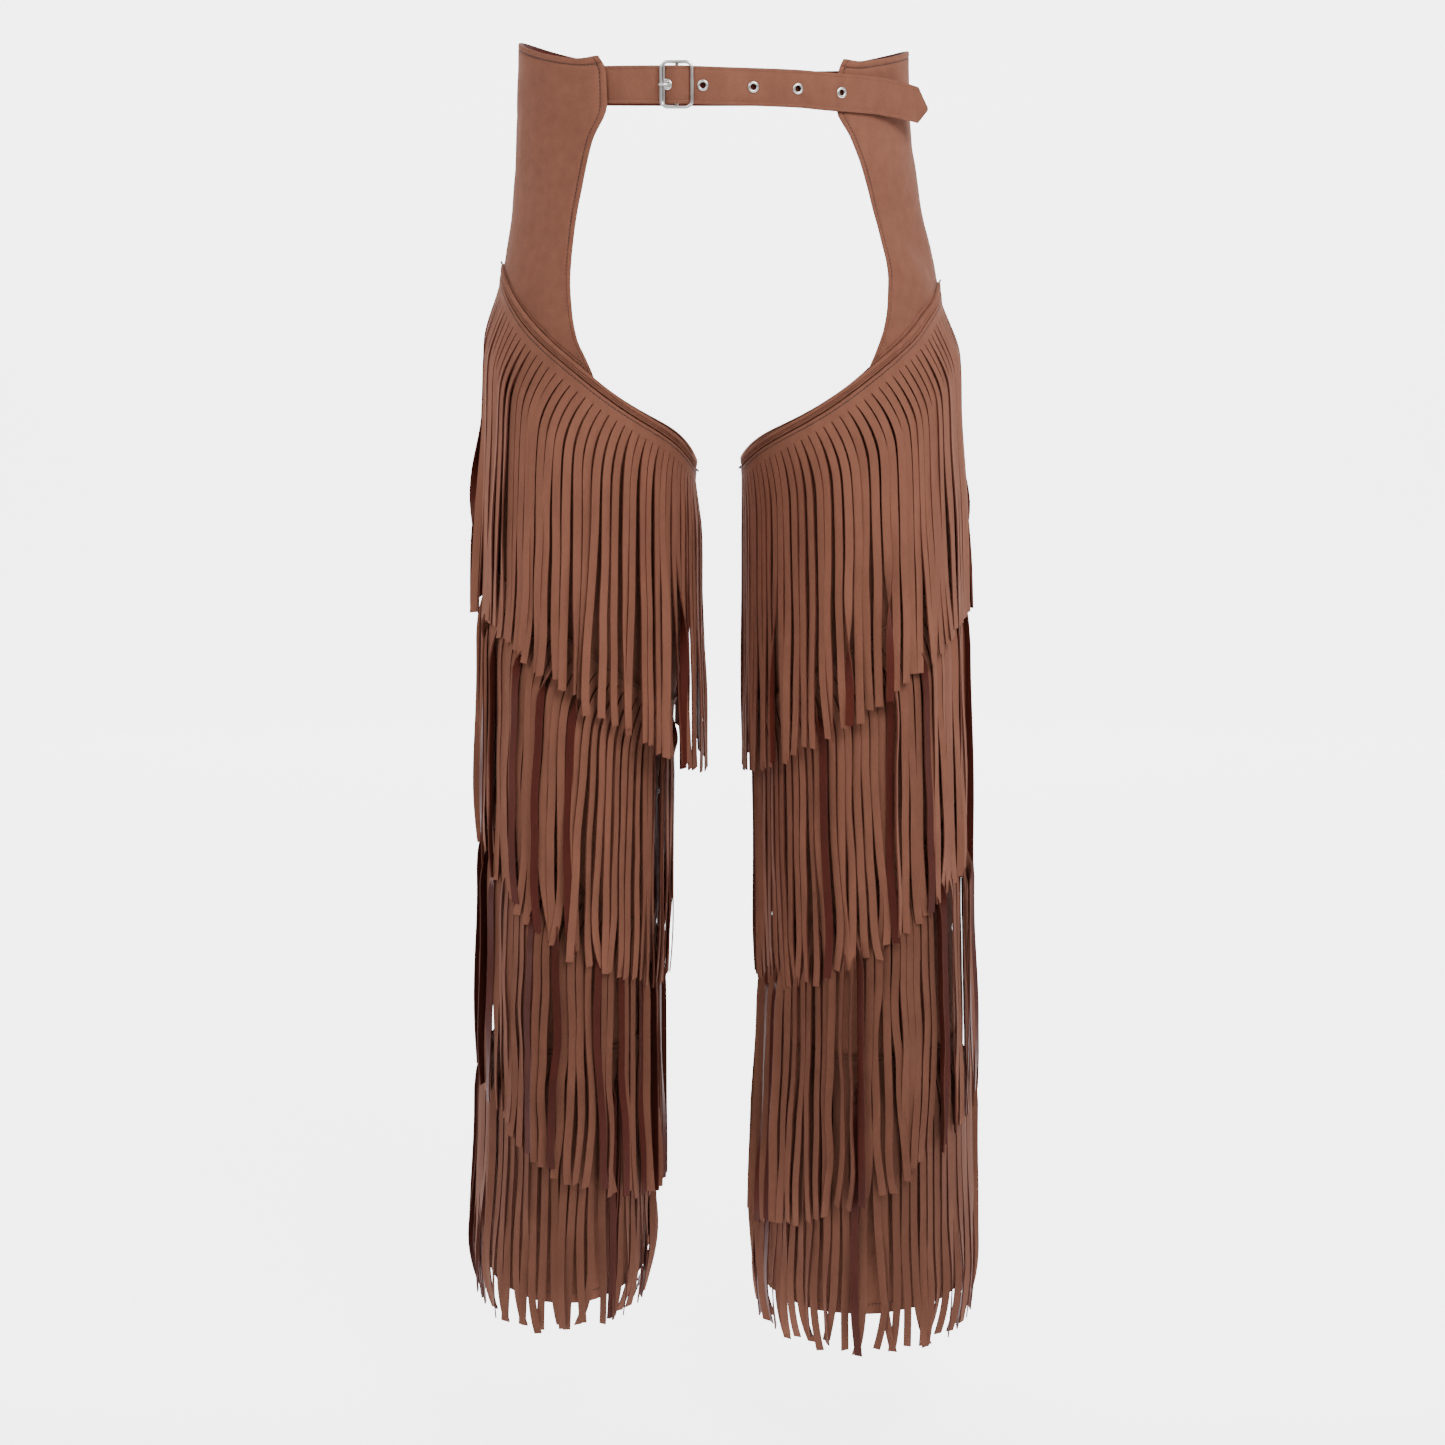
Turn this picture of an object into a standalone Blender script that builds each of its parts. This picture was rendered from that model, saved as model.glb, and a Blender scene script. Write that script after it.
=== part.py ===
"""Western chaps in their worn shape: two fringed legs on shaped yokes, held by a buckled belt.

Metres, +Z up, front towards -Y. The origin is where the belt is held, at the belt's mid height.
Left and right are the picture's left (-X) and right (+X).
"""

import math
from collections import namedtuple

import bmesh
import bpy
from mathutils import Matrix, Vector

# Thicknesses and gaps
CLOTH = 0.0015
TRIM = 0.0009
LOCK = 0.0012
STRAP = 0.0020
LOOP_STRAP = 0.0012
SEAM_GAP = 0.0004
LAY_GAP = 0.0005
HEADER_GAP = 0.0010
METAL_GAP = 0.0003

# Worn form, one row for each height. Widths run outwards from the midline of the figure.
Section = namedtuple("Section", "height centre_x half_width centre_y half_depth")
LEFT_SECTIONS = (
    Section(0.045, 0.0060, 0.1520, 0.000, 0.1115),
    Section(0.020, 0.0060, 0.1527, 0.000, 0.1120),
    Section(-0.020, 0.0060, 0.1547, 0.000, 0.1135),
    Section(-0.060, 0.0095, 0.1537, 0.001, 0.1180),
    Section(-0.100, 0.0200, 0.1465, 0.003, 0.1220),
    Section(-0.130, 0.0370, 0.1345, 0.004, 0.1235),
    Section(-0.160, 0.0580, 0.1182, 0.004, 0.1215),
    Section(-0.200, 0.0850, 0.0960, 0.003, 0.1115),
    Section(-0.250, 0.1000, 0.0830, 0.001, 0.1020),
    Section(-0.300, 0.1040, 0.0815, 0.000, 0.0990),
    Section(-0.380, 0.1070, 0.0810, 0.000, 0.0980),
    Section(-0.460, 0.1105, 0.0775, 0.000, 0.0965),
    Section(-0.530, 0.1180, 0.0710, 0.000, 0.0955),
    Section(-0.590, 0.1230, 0.0670, 0.001, 0.0950),
    Section(-0.770, 0.1250, 0.0650, 0.002, 0.0950),
    Section(-0.860, 0.1270, 0.0650, 0.003, 0.0970),
    Section(-0.950, 0.1315, 0.0665, 0.004, 0.1000),
    Section(-1.020, 0.1360, 0.0690, 0.004, 0.1030),
)
RIGHT_SECTIONS = (
    Section(0.045, -0.0060, 0.1540, 0.000, 0.1115),
    Section(0.020, -0.0060, 0.1546, 0.000, 0.1120),
    Section(-0.020, -0.0060, 0.1560, 0.000, 0.1135),
    Section(-0.060, -0.0020, 0.1572, 0.001, 0.1180),
    Section(-0.100, 0.0120, 0.1500, 0.003, 0.1220),
    Section(-0.130, 0.0320, 0.1378, 0.004, 0.1235),
    Section(-0.160, 0.0560, 0.1202, 0.004, 0.1215),
    Section(-0.200, 0.0850, 0.0950, 0.003, 0.1115),
    Section(-0.250, 0.1000, 0.0835, 0.001, 0.1020),
    Section(-0.300, 0.1035, 0.0830, 0.000, 0.0990),
    Section(-0.380, 0.1065, 0.0835, 0.000, 0.0980),
    Section(-0.460, 0.1080, 0.0820, 0.000, 0.0960),
    Section(-0.530, 0.1155, 0.0790, 0.000, 0.0920),
    Section(-0.590, 0.1230, 0.0740, 0.001, 0.0890),
    Section(-0.680, 0.1225, 0.0745, 0.001, 0.0880),
    Section(-0.770, 0.1240, 0.0790, 0.002, 0.0880),
    Section(-0.860, 0.1225, 0.0815, 0.003, 0.0890),
    Section(-0.950, 0.1225, 0.0865, 0.003, 0.0910),
    Section(-1.030, 0.1250, 0.0890, 0.003, 0.0920),
)

# Largest folds. Angles run from the front towards the outer side; a trough has a negative depth.
Fold = namedtuple("Fold", "angle height slant length width depth")
LEFT_FOLDS = (
    Fold(52.0, -0.125, 62.0, 0.045, 0.016, -0.0022),
    Fold(-18.0, -1.010, 84.0, 0.070, 0.020, 0.0025),
    Fold(35.0, -1.000, 97.0, 0.060, 0.018, -0.0022),
    Fold(150.0, -0.560, 25.0, 0.060, 0.020, -0.0030),
    Fold(205.0, -0.990, 80.0, 0.070, 0.020, 0.0025),
)
RIGHT_FOLDS = (
    Fold(63.0, -0.118, -52.0, 0.050, 0.015, -0.0034),
    Fold(48.0, -0.165, -40.0, 0.035, 0.014, -0.0018),
    Fold(-28.0, -1.020, 80.0, 0.070, 0.020, 0.0025),
    Fold(22.0, -1.010, 95.0, 0.060, 0.018, -0.0025),
    Fold(195.0, -0.570, -22.0, 0.060, 0.020, -0.0030),
    Fold(150.0, -1.000, 96.0, 0.070, 0.020, 0.0025),
)

# Seam between yoke and leg: middle + slant * s + lift * s**7 - sag * (1 - s**2), where s is -1
# inside and 1 outside. Behind the side it dips, lowest at the back.
Seam = namedtuple("Seam", "middle slant lift sag")
SEAT_DIP = 0.024
LEFT_SEAM = Seam(-0.2200, 0.0590, 0.0205, 0.0052)
RIGHT_SEAM = Seam(-0.2260, 0.0560, 0.0150, 0.0050)

# Front edge of each yoke: how far it lies from the midline at each height
Edge = namedtuple("Edge", "height across")
LEFT_EDGE = (
    Edge(0.020, 0.0930),
    Edge(0.008, 0.0865),
    Edge(-0.017, 0.0857),
    Edge(-0.044, 0.0974),
    Edge(-0.077, 0.1055),
    Edge(-0.116, 0.1129),
    Edge(-0.150, 0.1157),
    Edge(-0.175, 0.1137),
    Edge(-0.193, 0.1100),
    Edge(-0.206, 0.1040),
    Edge(-0.220, 0.0979),
)
RIGHT_EDGE = (
    Edge(0.0176, 0.0945),
    Edge(0.006, 0.0900),
    Edge(-0.020, 0.0890),
    Edge(-0.042, 0.1007),
    Edge(-0.079, 0.1149),
    Edge(-0.119, 0.1254),
    Edge(-0.150, 0.1316),
    Edge(-0.170, 0.1300),
    Edge(-0.187, 0.1264),
    Edge(-0.203, 0.1204),
    Edge(-0.217, 0.1143),
)
YOKE_BACK_EDGE = 1.22
YOKE_RISE_STARTS, YOKE_PEAK = 36.0, 96.0

# Fringe. Tips lie on a ring of their own, which runs from the inner to the outer distance,
# at the height tip + tip_slant * s + tip_bend * s**2.
# The first tier hangs from the top band, so its header follows the seam.
Tier = namedtuple("Tier", "header slant tip tip_slant tip_bend inner outer depth")
TOP_BAND = 0.0060
LEFT_TIERS = (
    Tier(None, None, -0.470, 0.071, -0.016, 0.0137, 0.2020, 0.1110),
    Tier(-0.4360, 0.060, -0.680, 0.060, 0.000, 0.0450, 0.2030, 0.1105),
    Tier(-0.6300, 0.055, -0.875, 0.054, 0.000, 0.0520, 0.2065, 0.1135),
    Tier(-0.7780, 0.000, -1.024, 0.000, 0.000, 0.0600, 0.2190, 0.1115),
)
RIGHT_TIERS = (
    Tier(None, None, -0.484, 0.069, -0.003, 0.0195, 0.2070, 0.1090),
    Tier(-0.4360, 0.060, -0.688, 0.056, 0.000, 0.0345, 0.2110, 0.1015),
    Tier(-0.6380, 0.055, -0.901, 0.053, 0.000, 0.0280, 0.2190, 0.1035),
    Tier(-0.7850, 0.000, -1.049, 0.000, 0.000, 0.0300, 0.2255, 0.1030),
)
TIP_CENTRE_Y = 0.003
LOCKS = 31
LOCK_SHARE = 0.76
LOCK_REACH = (0.0, 0.22, 1.0)
LOCK_SPREAD = (0.0, 0.50, 1.0)
FRINGE_BAND = 0.0100
FRINGE_OUT = CLOTH + 0.0009
TIP_UNEVEN = 0.0028
TIP_LEAN = 0.010

# Each side of the garment
Side = namedtuple("Side", "name sign sections folds seam edge top top_rise hem tiers")
LEFT = Side(
    "left", -1, LEFT_SECTIONS, LEFT_FOLDS, LEFT_SEAM, LEFT_EDGE,
    top=0.0190, top_rise=0.0150, hem=-1.002, tiers=LEFT_TIERS,
)
RIGHT = Side(
    "right", 1, RIGHT_SECTIONS, RIGHT_FOLDS, RIGHT_SEAM, RIGHT_EDGE,
    top=0.0165, top_rise=0.0110, hem=-1.017, tiers=RIGHT_TIERS,
)

# Leg panels meet at an outseam that lies forward of the side, and at the inseam
OUTSEAM_ANGLE = math.radians(42.0)
INSEAM_ANGLE = math.radians(-90.0)
INNER_COLUMNS = 8
LEG_ROWS = (0.0, 0.03, 0.065, 0.11, 0.17, 0.25, 0.34, 0.44, 0.54, 0.65, 0.77, 0.89, 1.0)
YOKE_COLUMNS, YOKE_ROWS = 16, 9
TOP_BAND_COLUMNS = 44

# Belt. Out is the distance of a strap's middle from the waist ring; rise is its height.
BELT_WIDTH = 0.028
Path = namedtuple("Path", "angle out rise")
BUCKLE_ANGLE = -9.8
FRAME_OUT = 0.0034
BAR_RADIUS = 0.0012
FRAME_HALF_WIDTH, FRAME_HALF_HEIGHT = 0.0117, 0.0166
FRAME_CORNER = 0.0050
BAR_DROP = 0.0020
BAR_OUT = FRAME_OUT - BAR_DROP
TONGUE_RADIUS = 0.0009
TONGUE_LOOP = BAR_RADIUS + METAL_GAP + TONGUE_RADIUS
TONGUE_REST = FRAME_OUT + BAR_RADIUS + METAL_GAP + TONGUE_RADIUS
UNDER_BAR = FRAME_OUT - BAR_RADIUS - METAL_GAP - STRAP / 2
OVER_BAR = BAR_OUT + TONGUE_LOOP + TONGUE_RADIUS + METAL_GAP + STRAP / 2
UNDER_YOKE = -0.0027
BELT_PATH = (
    Path(-52.0, UNDER_YOKE, -0.0004),
    Path(-33.0, UNDER_YOKE, -0.0004),
    Path(-24.0, 0.0000, -0.0004),
    Path(-14.4, UNDER_BAR, -0.0005),
    Path(BUCKLE_ANGLE, OVER_BAR, -0.0006),
    Path(-5.2, UNDER_BAR, -0.0009),
    Path(2.0, 0.0010, -0.0016),
    Path(25.0, 0.0011, -0.0036),
    Path(33.0, 0.0042, -0.0053),
    Path(46.0, 0.0042, -0.0072),
)
FreeEnd = namedtuple("FreeEnd", "distance rise half_height")
FREE_END = (
    FreeEnd(0.0180, -0.0085, 0.0140),
    FreeEnd(0.0380, -0.0112, 0.0140),
    FreeEnd(0.0575, -0.0150, 0.0137),
    FreeEnd(0.0670, -0.0180, 0.0012),
)
BUCKLE_STRAP_OUT = -0.0015
BUCKLE_STRAP_END = 52.0
LOOP_TURN = (-90.0, -310.0)
Slot = namedtuple("Slot", "across length height depth")
TONGUE_SLOT = Slot(0.0006, 0.0096, 0.0040, 0.0090)
BACK_STRAP_OUT = -0.0022
BACK_STRAP_REACH = 52.0

# Tongue from the centre bar to the side bar: how far across the buckle, and how far out of the waist
TongueBend = namedtuple("TongueBend", "across out")
TONGUE_CURL = (100.0, -140.0)
TONGUE_BENDS = (
    TongueBend(-0.0056, 0.0034),
    TongueBend(-0.0078, TONGUE_REST - 0.0007),
    TongueBend(-0.0100, TONGUE_REST),
    TongueBend(-0.0146, TONGUE_REST),
)
EYELET_ANGLES = (-12.0, -2.5, 11.5, 24.5, 38.2)
EYELET_RADIUS, EYELET_HOLE = 0.00425, 0.00235
EYELET_THICKNESS = 0.0006
EYELET_SIDES = 14

# Colour, roughness and metallic value of each material
YOKE_SUEDE = ((0.290, 0.138, 0.095), 0.95, 0.0)
LEG_SUEDE = ((0.180, 0.085, 0.060), 0.95, 0.0)
FRINGE_SUEDE = ((0.220, 0.095, 0.060), 0.95, 0.0)
BELT_SUEDE = ((0.300, 0.145, 0.098), 0.92, 0.0)
POLISHED_STEEL = ((0.800, 0.790, 0.770), 0.18, 1.0)


def smooth(rows, place, column):
    """Read one column of a table between its rows, without overshooting them."""
    places = [row[0] for row in rows]
    values = [getattr(row, column) for row in rows]
    if places[0] > places[-1]:
        places.reverse()
        values.reverse()
    place = min(max(place, places[0]), places[-1])
    index = max(i for i in range(len(places) - 1) if places[i] <= place)
    slopes = [(values[i + 1] - values[i]) / (places[i + 1] - places[i]) for i in range(len(places) - 1)]

    def tangent(i):
        if i == 0 or i == len(slopes):
            return slopes[0] if i == 0 else slopes[-1]
        before, after = slopes[i - 1], slopes[i]
        return 0.0 if before * after <= 0 else 2 * before * after / (before + after)

    span = places[index + 1] - places[index]
    t = (place - places[index]) / span
    start = values[index] * (2 * t**3 - 3 * t**2 + 1) + tangent(index) * span * (t**3 - 2 * t**2 + t)
    end = values[index + 1] * (3 * t**2 - 2 * t**3) + tangent(index + 1) * span * (t**3 - t**2)
    return start + end


def section(side, height):
    """The worn form's ring at a height."""
    return Section(height, *(smooth(side.sections, height, column) for column in Section._fields[1:]))


def fold_depth(side, angle, height):
    """How far the largest folds move the cloth outwards here."""
    moved = 0.0
    for fold in side.folds:
        around = (angle - math.radians(fold.angle) + math.pi) % math.tau - math.pi
        across, up = around * 0.1, height - fold.height
        slant = math.radians(fold.slant)
        along = across * math.cos(slant) + up * math.sin(slant)
        aside = up * math.cos(slant) - across * math.sin(slant)
        moved += fold.depth * math.exp(-((along / fold.length) ** 2) - (aside / fold.width) ** 2)
    return moved


def on_ring(side, ring, angle, height, out):
    """Point of an upright ring, moved out along its normal."""
    across, ahead = math.sin(angle), -math.cos(angle)
    normal = Vector((across / ring.half_width, ahead / ring.half_depth)).normalized()
    x = ring.centre_x + ring.half_width * across + normal.x * out
    y = ring.centre_y + ring.half_depth * ahead + normal.y * out
    return Vector((side.sign * x, y, height))


def surface(side, angle, height, out=0.0):
    """Point of the worn form, moved out, with its folds."""
    return on_ring(side, section(side, height), angle, height, out + fold_depth(side, angle, height))


def waist(degrees, out):
    """Point of the waist ring at the origin's height. Angles run from the front to the right."""
    degrees = (degrees + 180.0) % 360.0 - 180.0
    side = RIGHT if degrees >= 0 else LEFT
    return on_ring(side, section(side, 0.0), math.radians(abs(degrees)), 0.0, out)


def seat_dip(angle):
    """How far the leg's top edge dips behind the side."""
    return SEAT_DIP * max(0.0, -math.cos(angle)) ** 1.5


def seam_height(side, angle):
    """Height of the seam between yoke and leg."""
    s = math.sin(angle)
    seam = side.seam
    return seam.middle + seam.slant * s + seam.lift * s**7 - seam.sag * (1 - s * s) - seat_dip(angle)


def front_angle(side, height):
    """Angle of the yoke's front edge at a height."""
    ring = section(side, height)
    return math.asin((smooth(side.edge, height, "across") - ring.centre_x) / ring.half_width)


def back_angle(side, height):
    """Angle of the yoke's back edge, which lies a little further from the midline than the front edge."""
    ring = section(side, height)
    across = YOKE_BACK_EDGE * smooth(side.edge, height, "across")
    return math.pi - math.asin((across - ring.centre_x) / ring.half_width)


def yoke_corner(side, edge_angle):
    """Height at which a yoke edge meets the seam."""
    height = side.seam.middle
    for _ in range(20):
        height = seam_height(side, edge_angle(side, height)) + SEAM_GAP
    return height


def material(name, finish):
    colour, roughness, metallic = finish
    made = bpy.data.materials.new(name)
    made.use_nodes = True
    shader = made.node_tree.nodes["Principled BSDF"]
    shader.inputs["Base Color"].default_value = (*colour, 1.0)
    shader.inputs["Roughness"].default_value = roughness
    shader.inputs["Metallic"].default_value = metallic
    return made


def finish_mesh(name, bm, finish):
    """Turn a bmesh into a smooth-shaded object with its own material."""
    bmesh.ops.recalc_face_normals(bm, faces=bm.faces[:])
    if bm.calc_volume(signed=True) < 0:
        bmesh.ops.reverse_faces(bm, faces=bm.faces[:])
    mesh = bpy.data.meshes.new(name)
    bm.to_mesh(mesh)
    bm.free()
    mesh.shade_smooth()
    mesh.set_sharp_from_angle(angle=math.radians(40))
    made = bpy.data.objects.new(name, mesh)
    made.data.materials.append(material(name, finish))
    bpy.context.collection.objects.link(made)
    return made


def thicken(bm):
    """Give a flat pattern its second face, one unit away along Z."""
    grown = bmesh.ops.extrude_face_region(bm, geom=bm.faces[:])["geom"]
    bmesh.ops.translate(bm, verts=[v for v in grown if isinstance(v, bmesh.types.BMVert)], vec=(0, 0, 1))


def panel(name, columns, rows, place, finish):
    """A piece cut flat: place(u, v, w) lays its pattern on the body, w running from inside to outside."""
    bm = bmesh.new()
    bmesh.ops.create_grid(bm, x_segments=columns, y_segments=rows, size=0.5)
    thicken(bm)
    for vert in bm.verts:
        vert.co = place(vert.co.x + 0.5, 0.5 - vert.co.y, vert.co.z)
    return finish_mesh(name, bm, finish)


def ring_pattern(columns):
    """A closed band one unit tall around a unit circle, with a second wall one unit further out."""
    bm = bmesh.new()
    bmesh.ops.create_circle(bm, segments=columns, radius=1.0)
    lower = bmesh.ops.extrude_edge_only(bm, edges=bm.edges[:])["geom"]
    bmesh.ops.translate(bm, verts=[v for v in lower if isinstance(v, bmesh.types.BMVert)], vec=(0, 0, -1))
    outer = bmesh.ops.extrude_face_region(bm, geom=bm.faces[:])["geom"]
    for vert in outer:
        if isinstance(vert, bmesh.types.BMVert):
            vert.co.x *= 2
            vert.co.y *= 2
    return bm


def ring_column(point, columns):
    """Which column of a ring pattern a point lies on, and whether it is on the outer wall."""
    turn = math.atan2(-point.x, point.y) % math.tau
    return round(turn / math.tau * columns) % columns, round(math.hypot(point.x, point.y)) - 1


def yoke_top(side, angle):
    """Height of the yoke's top edge, which rises towards the side and falls again behind it."""
    from_peak = abs(math.degrees(angle) - YOKE_PEAK)
    rise = max(0.0, 1.0 - from_peak / (YOKE_PEAK - YOKE_RISE_STARTS))
    return side.top + side.top_rise * rise * rise * (3 - 2 * rise)


def yoke(side):
    """The hip piece, open at the front and at the seat."""
    front_corner, back_corner = yoke_corner(side, front_angle), yoke_corner(side, back_angle)

    def edge_angles(v):
        front = front_angle(side, side.top + (front_corner - side.top) * v)
        return front, back_angle(side, side.top + (back_corner - side.top) * v)

    def place(u, v, w):
        front, back = edge_angles(v)
        top_front, top_back = edge_angles(0.0)
        seam_front, seam_back = edge_angles(1.0)
        top = yoke_top(side, top_front + (top_back - top_front) * u)
        bottom = seam_height(side, seam_front + (seam_back - seam_front) * u) + SEAM_GAP
        return surface(side, front + (back - front) * u, top + (bottom - top) * v, CLOTH * w)

    return panel(f"yoke_{side.name}", YOKE_COLUMNS, YOKE_ROWS, place, YOKE_SUEDE)


def leg_angles(side):
    """Angles of the leg's columns, which meet the yoke's at the seam, and the outseam's place in them."""
    front = front_angle(side, yoke_corner(side, front_angle))
    back = back_angle(side, yoke_corner(side, back_angle))
    corners = (INSEAM_ANGLE, front, back, INSEAM_ANGLE + math.tau)
    counts = (INNER_COLUMNS, YOKE_COLUMNS, INNER_COLUMNS)
    angles = [INSEAM_ANGLE]
    for start, end, count in zip(corners, corners[1:], counts):
        angles += [start + (end - start) * i / count for i in range(1, count + 1)]
    outseam = min(range(len(angles)), key=lambda i: abs(angles[i] - OUTSEAM_ANGLE))
    return angles, outseam


def leg_panel(side, name, angles):
    """One leg panel between two seams, from the yoke seam down to the hem."""
    gap = SEAM_GAP / 2 / side.sections[-1].half_depth
    rows = len(LEG_ROWS) - 1
    columns = len(angles) - 1

    def place(u, v, w):
        column = round(u * columns)
        angle = angles[column] + gap * ((column == 0) - (column == columns))
        top = seam_height(side, angle)
        return surface(side, angle, top + (side.hem - top) * LEG_ROWS[round(v * rows)], CLOTH * w)

    return panel(f"{name}_{side.name}", columns, rows, place, LEG_SUEDE)


def top_band(side):
    """Narrow band over the leg's top edge, outside the panels."""
    bm = ring_pattern(TOP_BAND_COLUMNS)
    for vert in bm.verts:
        column, outer = ring_column(vert.co, TOP_BAND_COLUMNS)
        angle = math.tau * column / TOP_BAND_COLUMNS
        height = seam_height(side, angle) + (TOP_BAND - HEADER_GAP) * vert.co.z
        vert.co = surface(side, angle, height, FRINGE_OUT + TRIM * outer)
    return finish_mesh(f"leg_band_{side.name}", bm, YOKE_SUEDE)


def header_height(side, number, angle):
    """Height of a fringe band's top edge."""
    tier = side.tiers[number - 1]
    if tier.header is None:
        return seam_height(side, angle) - TOP_BAND
    return tier.header + tier.slant * math.sin(angle)


def fringe(side, number):
    """One tier: a closed band round the leg whose lower edge is cut into hanging locks."""
    tier = side.tiers[number - 1]
    columns = 2 * LOCKS
    bm = ring_pattern(columns)
    bm.faces.ensure_lookup_table()
    tips = []
    for face in bm.faces:
        if all(abs(vert.co.z + 1) < 1e-5 for vert in face.verts):
            around = sorted({ring_column(vert.co, columns)[0] for vert in face.verts})
            if around[0] % 2 == 0 and around[1] == around[0] + 1:
                tips.append(face)
    for _ in LOCK_REACH[1:]:
        tips = bmesh.ops.extrude_discrete_faces(bm, faces=tips)["faces"]
        drop = {vert for face in tips for vert in face.verts}
        bmesh.ops.translate(bm, verts=list(drop), vec=(0, 0, -1))
    middle, half_width = (tier.outer + tier.inner) / 2, (tier.outer - tier.inner) / 2
    tip_ring = Section(0.0, middle, half_width, TIP_CENTRE_Y, tier.depth)
    for vert in bm.verts:
        column, outer = ring_column(vert.co, columns)
        lock = column // 2
        angle = math.tau * (lock + LOCK_SHARE * (column % 2)) / LOCKS
        down = round(-vert.co.z)
        top = header_height(side, number, angle)
        if down <= 1:
            vert.co = surface(side, angle, top - FRINGE_BAND * down, FRINGE_OUT + LOCK * outer)
            continue
        reach, spread = LOCK_REACH[down - 1], LOCK_SPREAD[down - 1]
        root = surface(side, angle, top - FRINGE_BAND, FRINGE_OUT + LOCK * outer)
        lean = TIP_LEAN * math.sin(2.4 * lock + number)
        s = math.sin(angle)
        tip_height = tier.tip + tier.tip_slant * s + tier.tip_bend * s * s
        tip_height -= TIP_UNEVEN * math.cos(3.7 * lock + number)
        tip = on_ring(side, tip_ring, angle + lean, tip_height, LOCK * (outer - 0.5))
        vert.co = root.lerp(tip, spread)
        vert.co.z = root.z + (tip.z - root.z) * reach
    return finish_mesh(f"fringe_{number}_{side.name}", bm, FRINGE_SUEDE)


def steps(start, end, step):
    """Evenly spaced values from start to end, both included."""
    count = max(1, round(abs(end - start) / step))
    return [start + (end - start) * i / count for i in range(count + 1)]


def belt_middle(degrees):
    """Middle of the long strap, seen from above."""
    return waist(degrees, smooth(BELT_PATH, degrees, "out"))


def strap(name, points, rises, halves, thickness):
    """A strap on edge: it follows points seen from above; thickness runs along it by row."""
    count = len(points) - 1

    def place(u, v, w):
        index = round(u * count)
        along = points[min(index + 1, count)] - points[max(index - 1, 0)]
        normal = Vector((along.y, -along.x, 0)).normalized()
        middle = points[index] + normal * thickness[index] * (w - 0.5)
        return Vector((middle.x, middle.y, rises[index] + halves[index] * (1 - 2 * v)))

    return panel(name, count, 1, place, BELT_SUEDE)


def cutter(name, bm):
    """A guide that cuts its neighbour and isn't part of the object."""
    mesh = bpy.data.meshes.new(name)
    bm.to_mesh(mesh)
    bm.free()
    made = bpy.data.objects.new(name, mesh)
    made.hide_render = True
    made.display_type = "WIRE"
    bpy.context.collection.objects.link(made)
    return made


def combine(target, other, operation):
    change = target.modifiers.new(other.name, "BOOLEAN")
    change.operation = operation
    change.object = other
    change.solver = "EXACT"


def facing(point, along):
    """Frame at a place on the belt: X along it, Z out of it."""
    across = along.normalized()
    up = Vector((0, 0, 1))
    out = Vector((across.y, -across.x, 0))
    return Matrix.Translation(point) @ Matrix((across, up, out)).transposed().to_4x4()


def belt_facing(degrees):
    """Frame on the long strap's middle, at its mid height."""
    along = belt_middle(degrees + 0.4) - belt_middle(degrees - 0.4)
    point = belt_middle(degrees)
    point.z = smooth(BELT_PATH, degrees, "rise")
    return facing(point, along)


def buckle_facing(out):
    """Frame at the buckle's middle, at a distance from the waist ring."""
    point = waist(BUCKLE_ANGLE, out)
    point.z = smooth(BELT_PATH, BUCKLE_ANGLE, "rise")
    return facing(point, waist(BUCKLE_ANGLE + 1, out) - waist(BUCKLE_ANGLE - 1, out))


def belt_strap():
    """The long strap: under the left yoke, through the buckle, over the right yoke to its free end."""
    angles = steps(-52, -20, 5) + steps(-18.5, -2.7, 1.3) + steps(2, BELT_PATH[-1].angle, 4)
    points = [belt_middle(angle) for angle in angles]
    rises = [smooth(BELT_PATH, angle, "rise") for angle in angles]
    halves = [BELT_WIDTH / 2] * len(angles)
    leaving = (belt_middle(angles[-1]) - belt_middle(angles[-1] - 1)).normalized()
    for row in FREE_END:
        points.append(points[len(angles) - 1] + leaving * row.distance)
        rises.append(row.rise)
        halves.append(row.half_height)
    made = strap("belt_strap", points, rises, halves, [STRAP] * len(points))
    for number, angle in enumerate(EYELET_ANGLES, 1):
        bm = bmesh.new()
        bmesh.ops.create_cone(
            bm, cap_ends=True, segments=EYELET_SIDES, depth=5 * STRAP,
            radius1=EYELET_HOLE + METAL_GAP, radius2=EYELET_HOLE + METAL_GAP, matrix=belt_facing(angle),
        )
        combine(made, cutter(f"hole_{number}", bm), "DIFFERENCE")
    return made


def eyelet(number, angle):
    """A flat metal ring on the outside of the long strap, round its hole."""
    bm = bmesh.new()
    inner = bmesh.ops.create_circle(bm, segments=EYELET_SIDES, radius=EYELET_HOLE)["verts"]
    bmesh.ops.create_circle(bm, segments=EYELET_SIDES, radius=EYELET_RADIUS)
    bmesh.ops.bridge_loops(bm, edges=bm.edges[:])
    thicken(bm)
    bmesh.ops.scale(bm, verts=bm.verts[:], vec=(1, 1, EYELET_THICKNESS))
    bmesh.ops.translate(bm, verts=bm.verts[:], vec=(0, 0, STRAP / 2 + LAY_GAP))
    bmesh.ops.transform(bm, verts=bm.verts[:], matrix=belt_facing(angle))
    return finish_mesh(f"eyelet_{number}", bm, POLISHED_STEEL)


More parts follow.
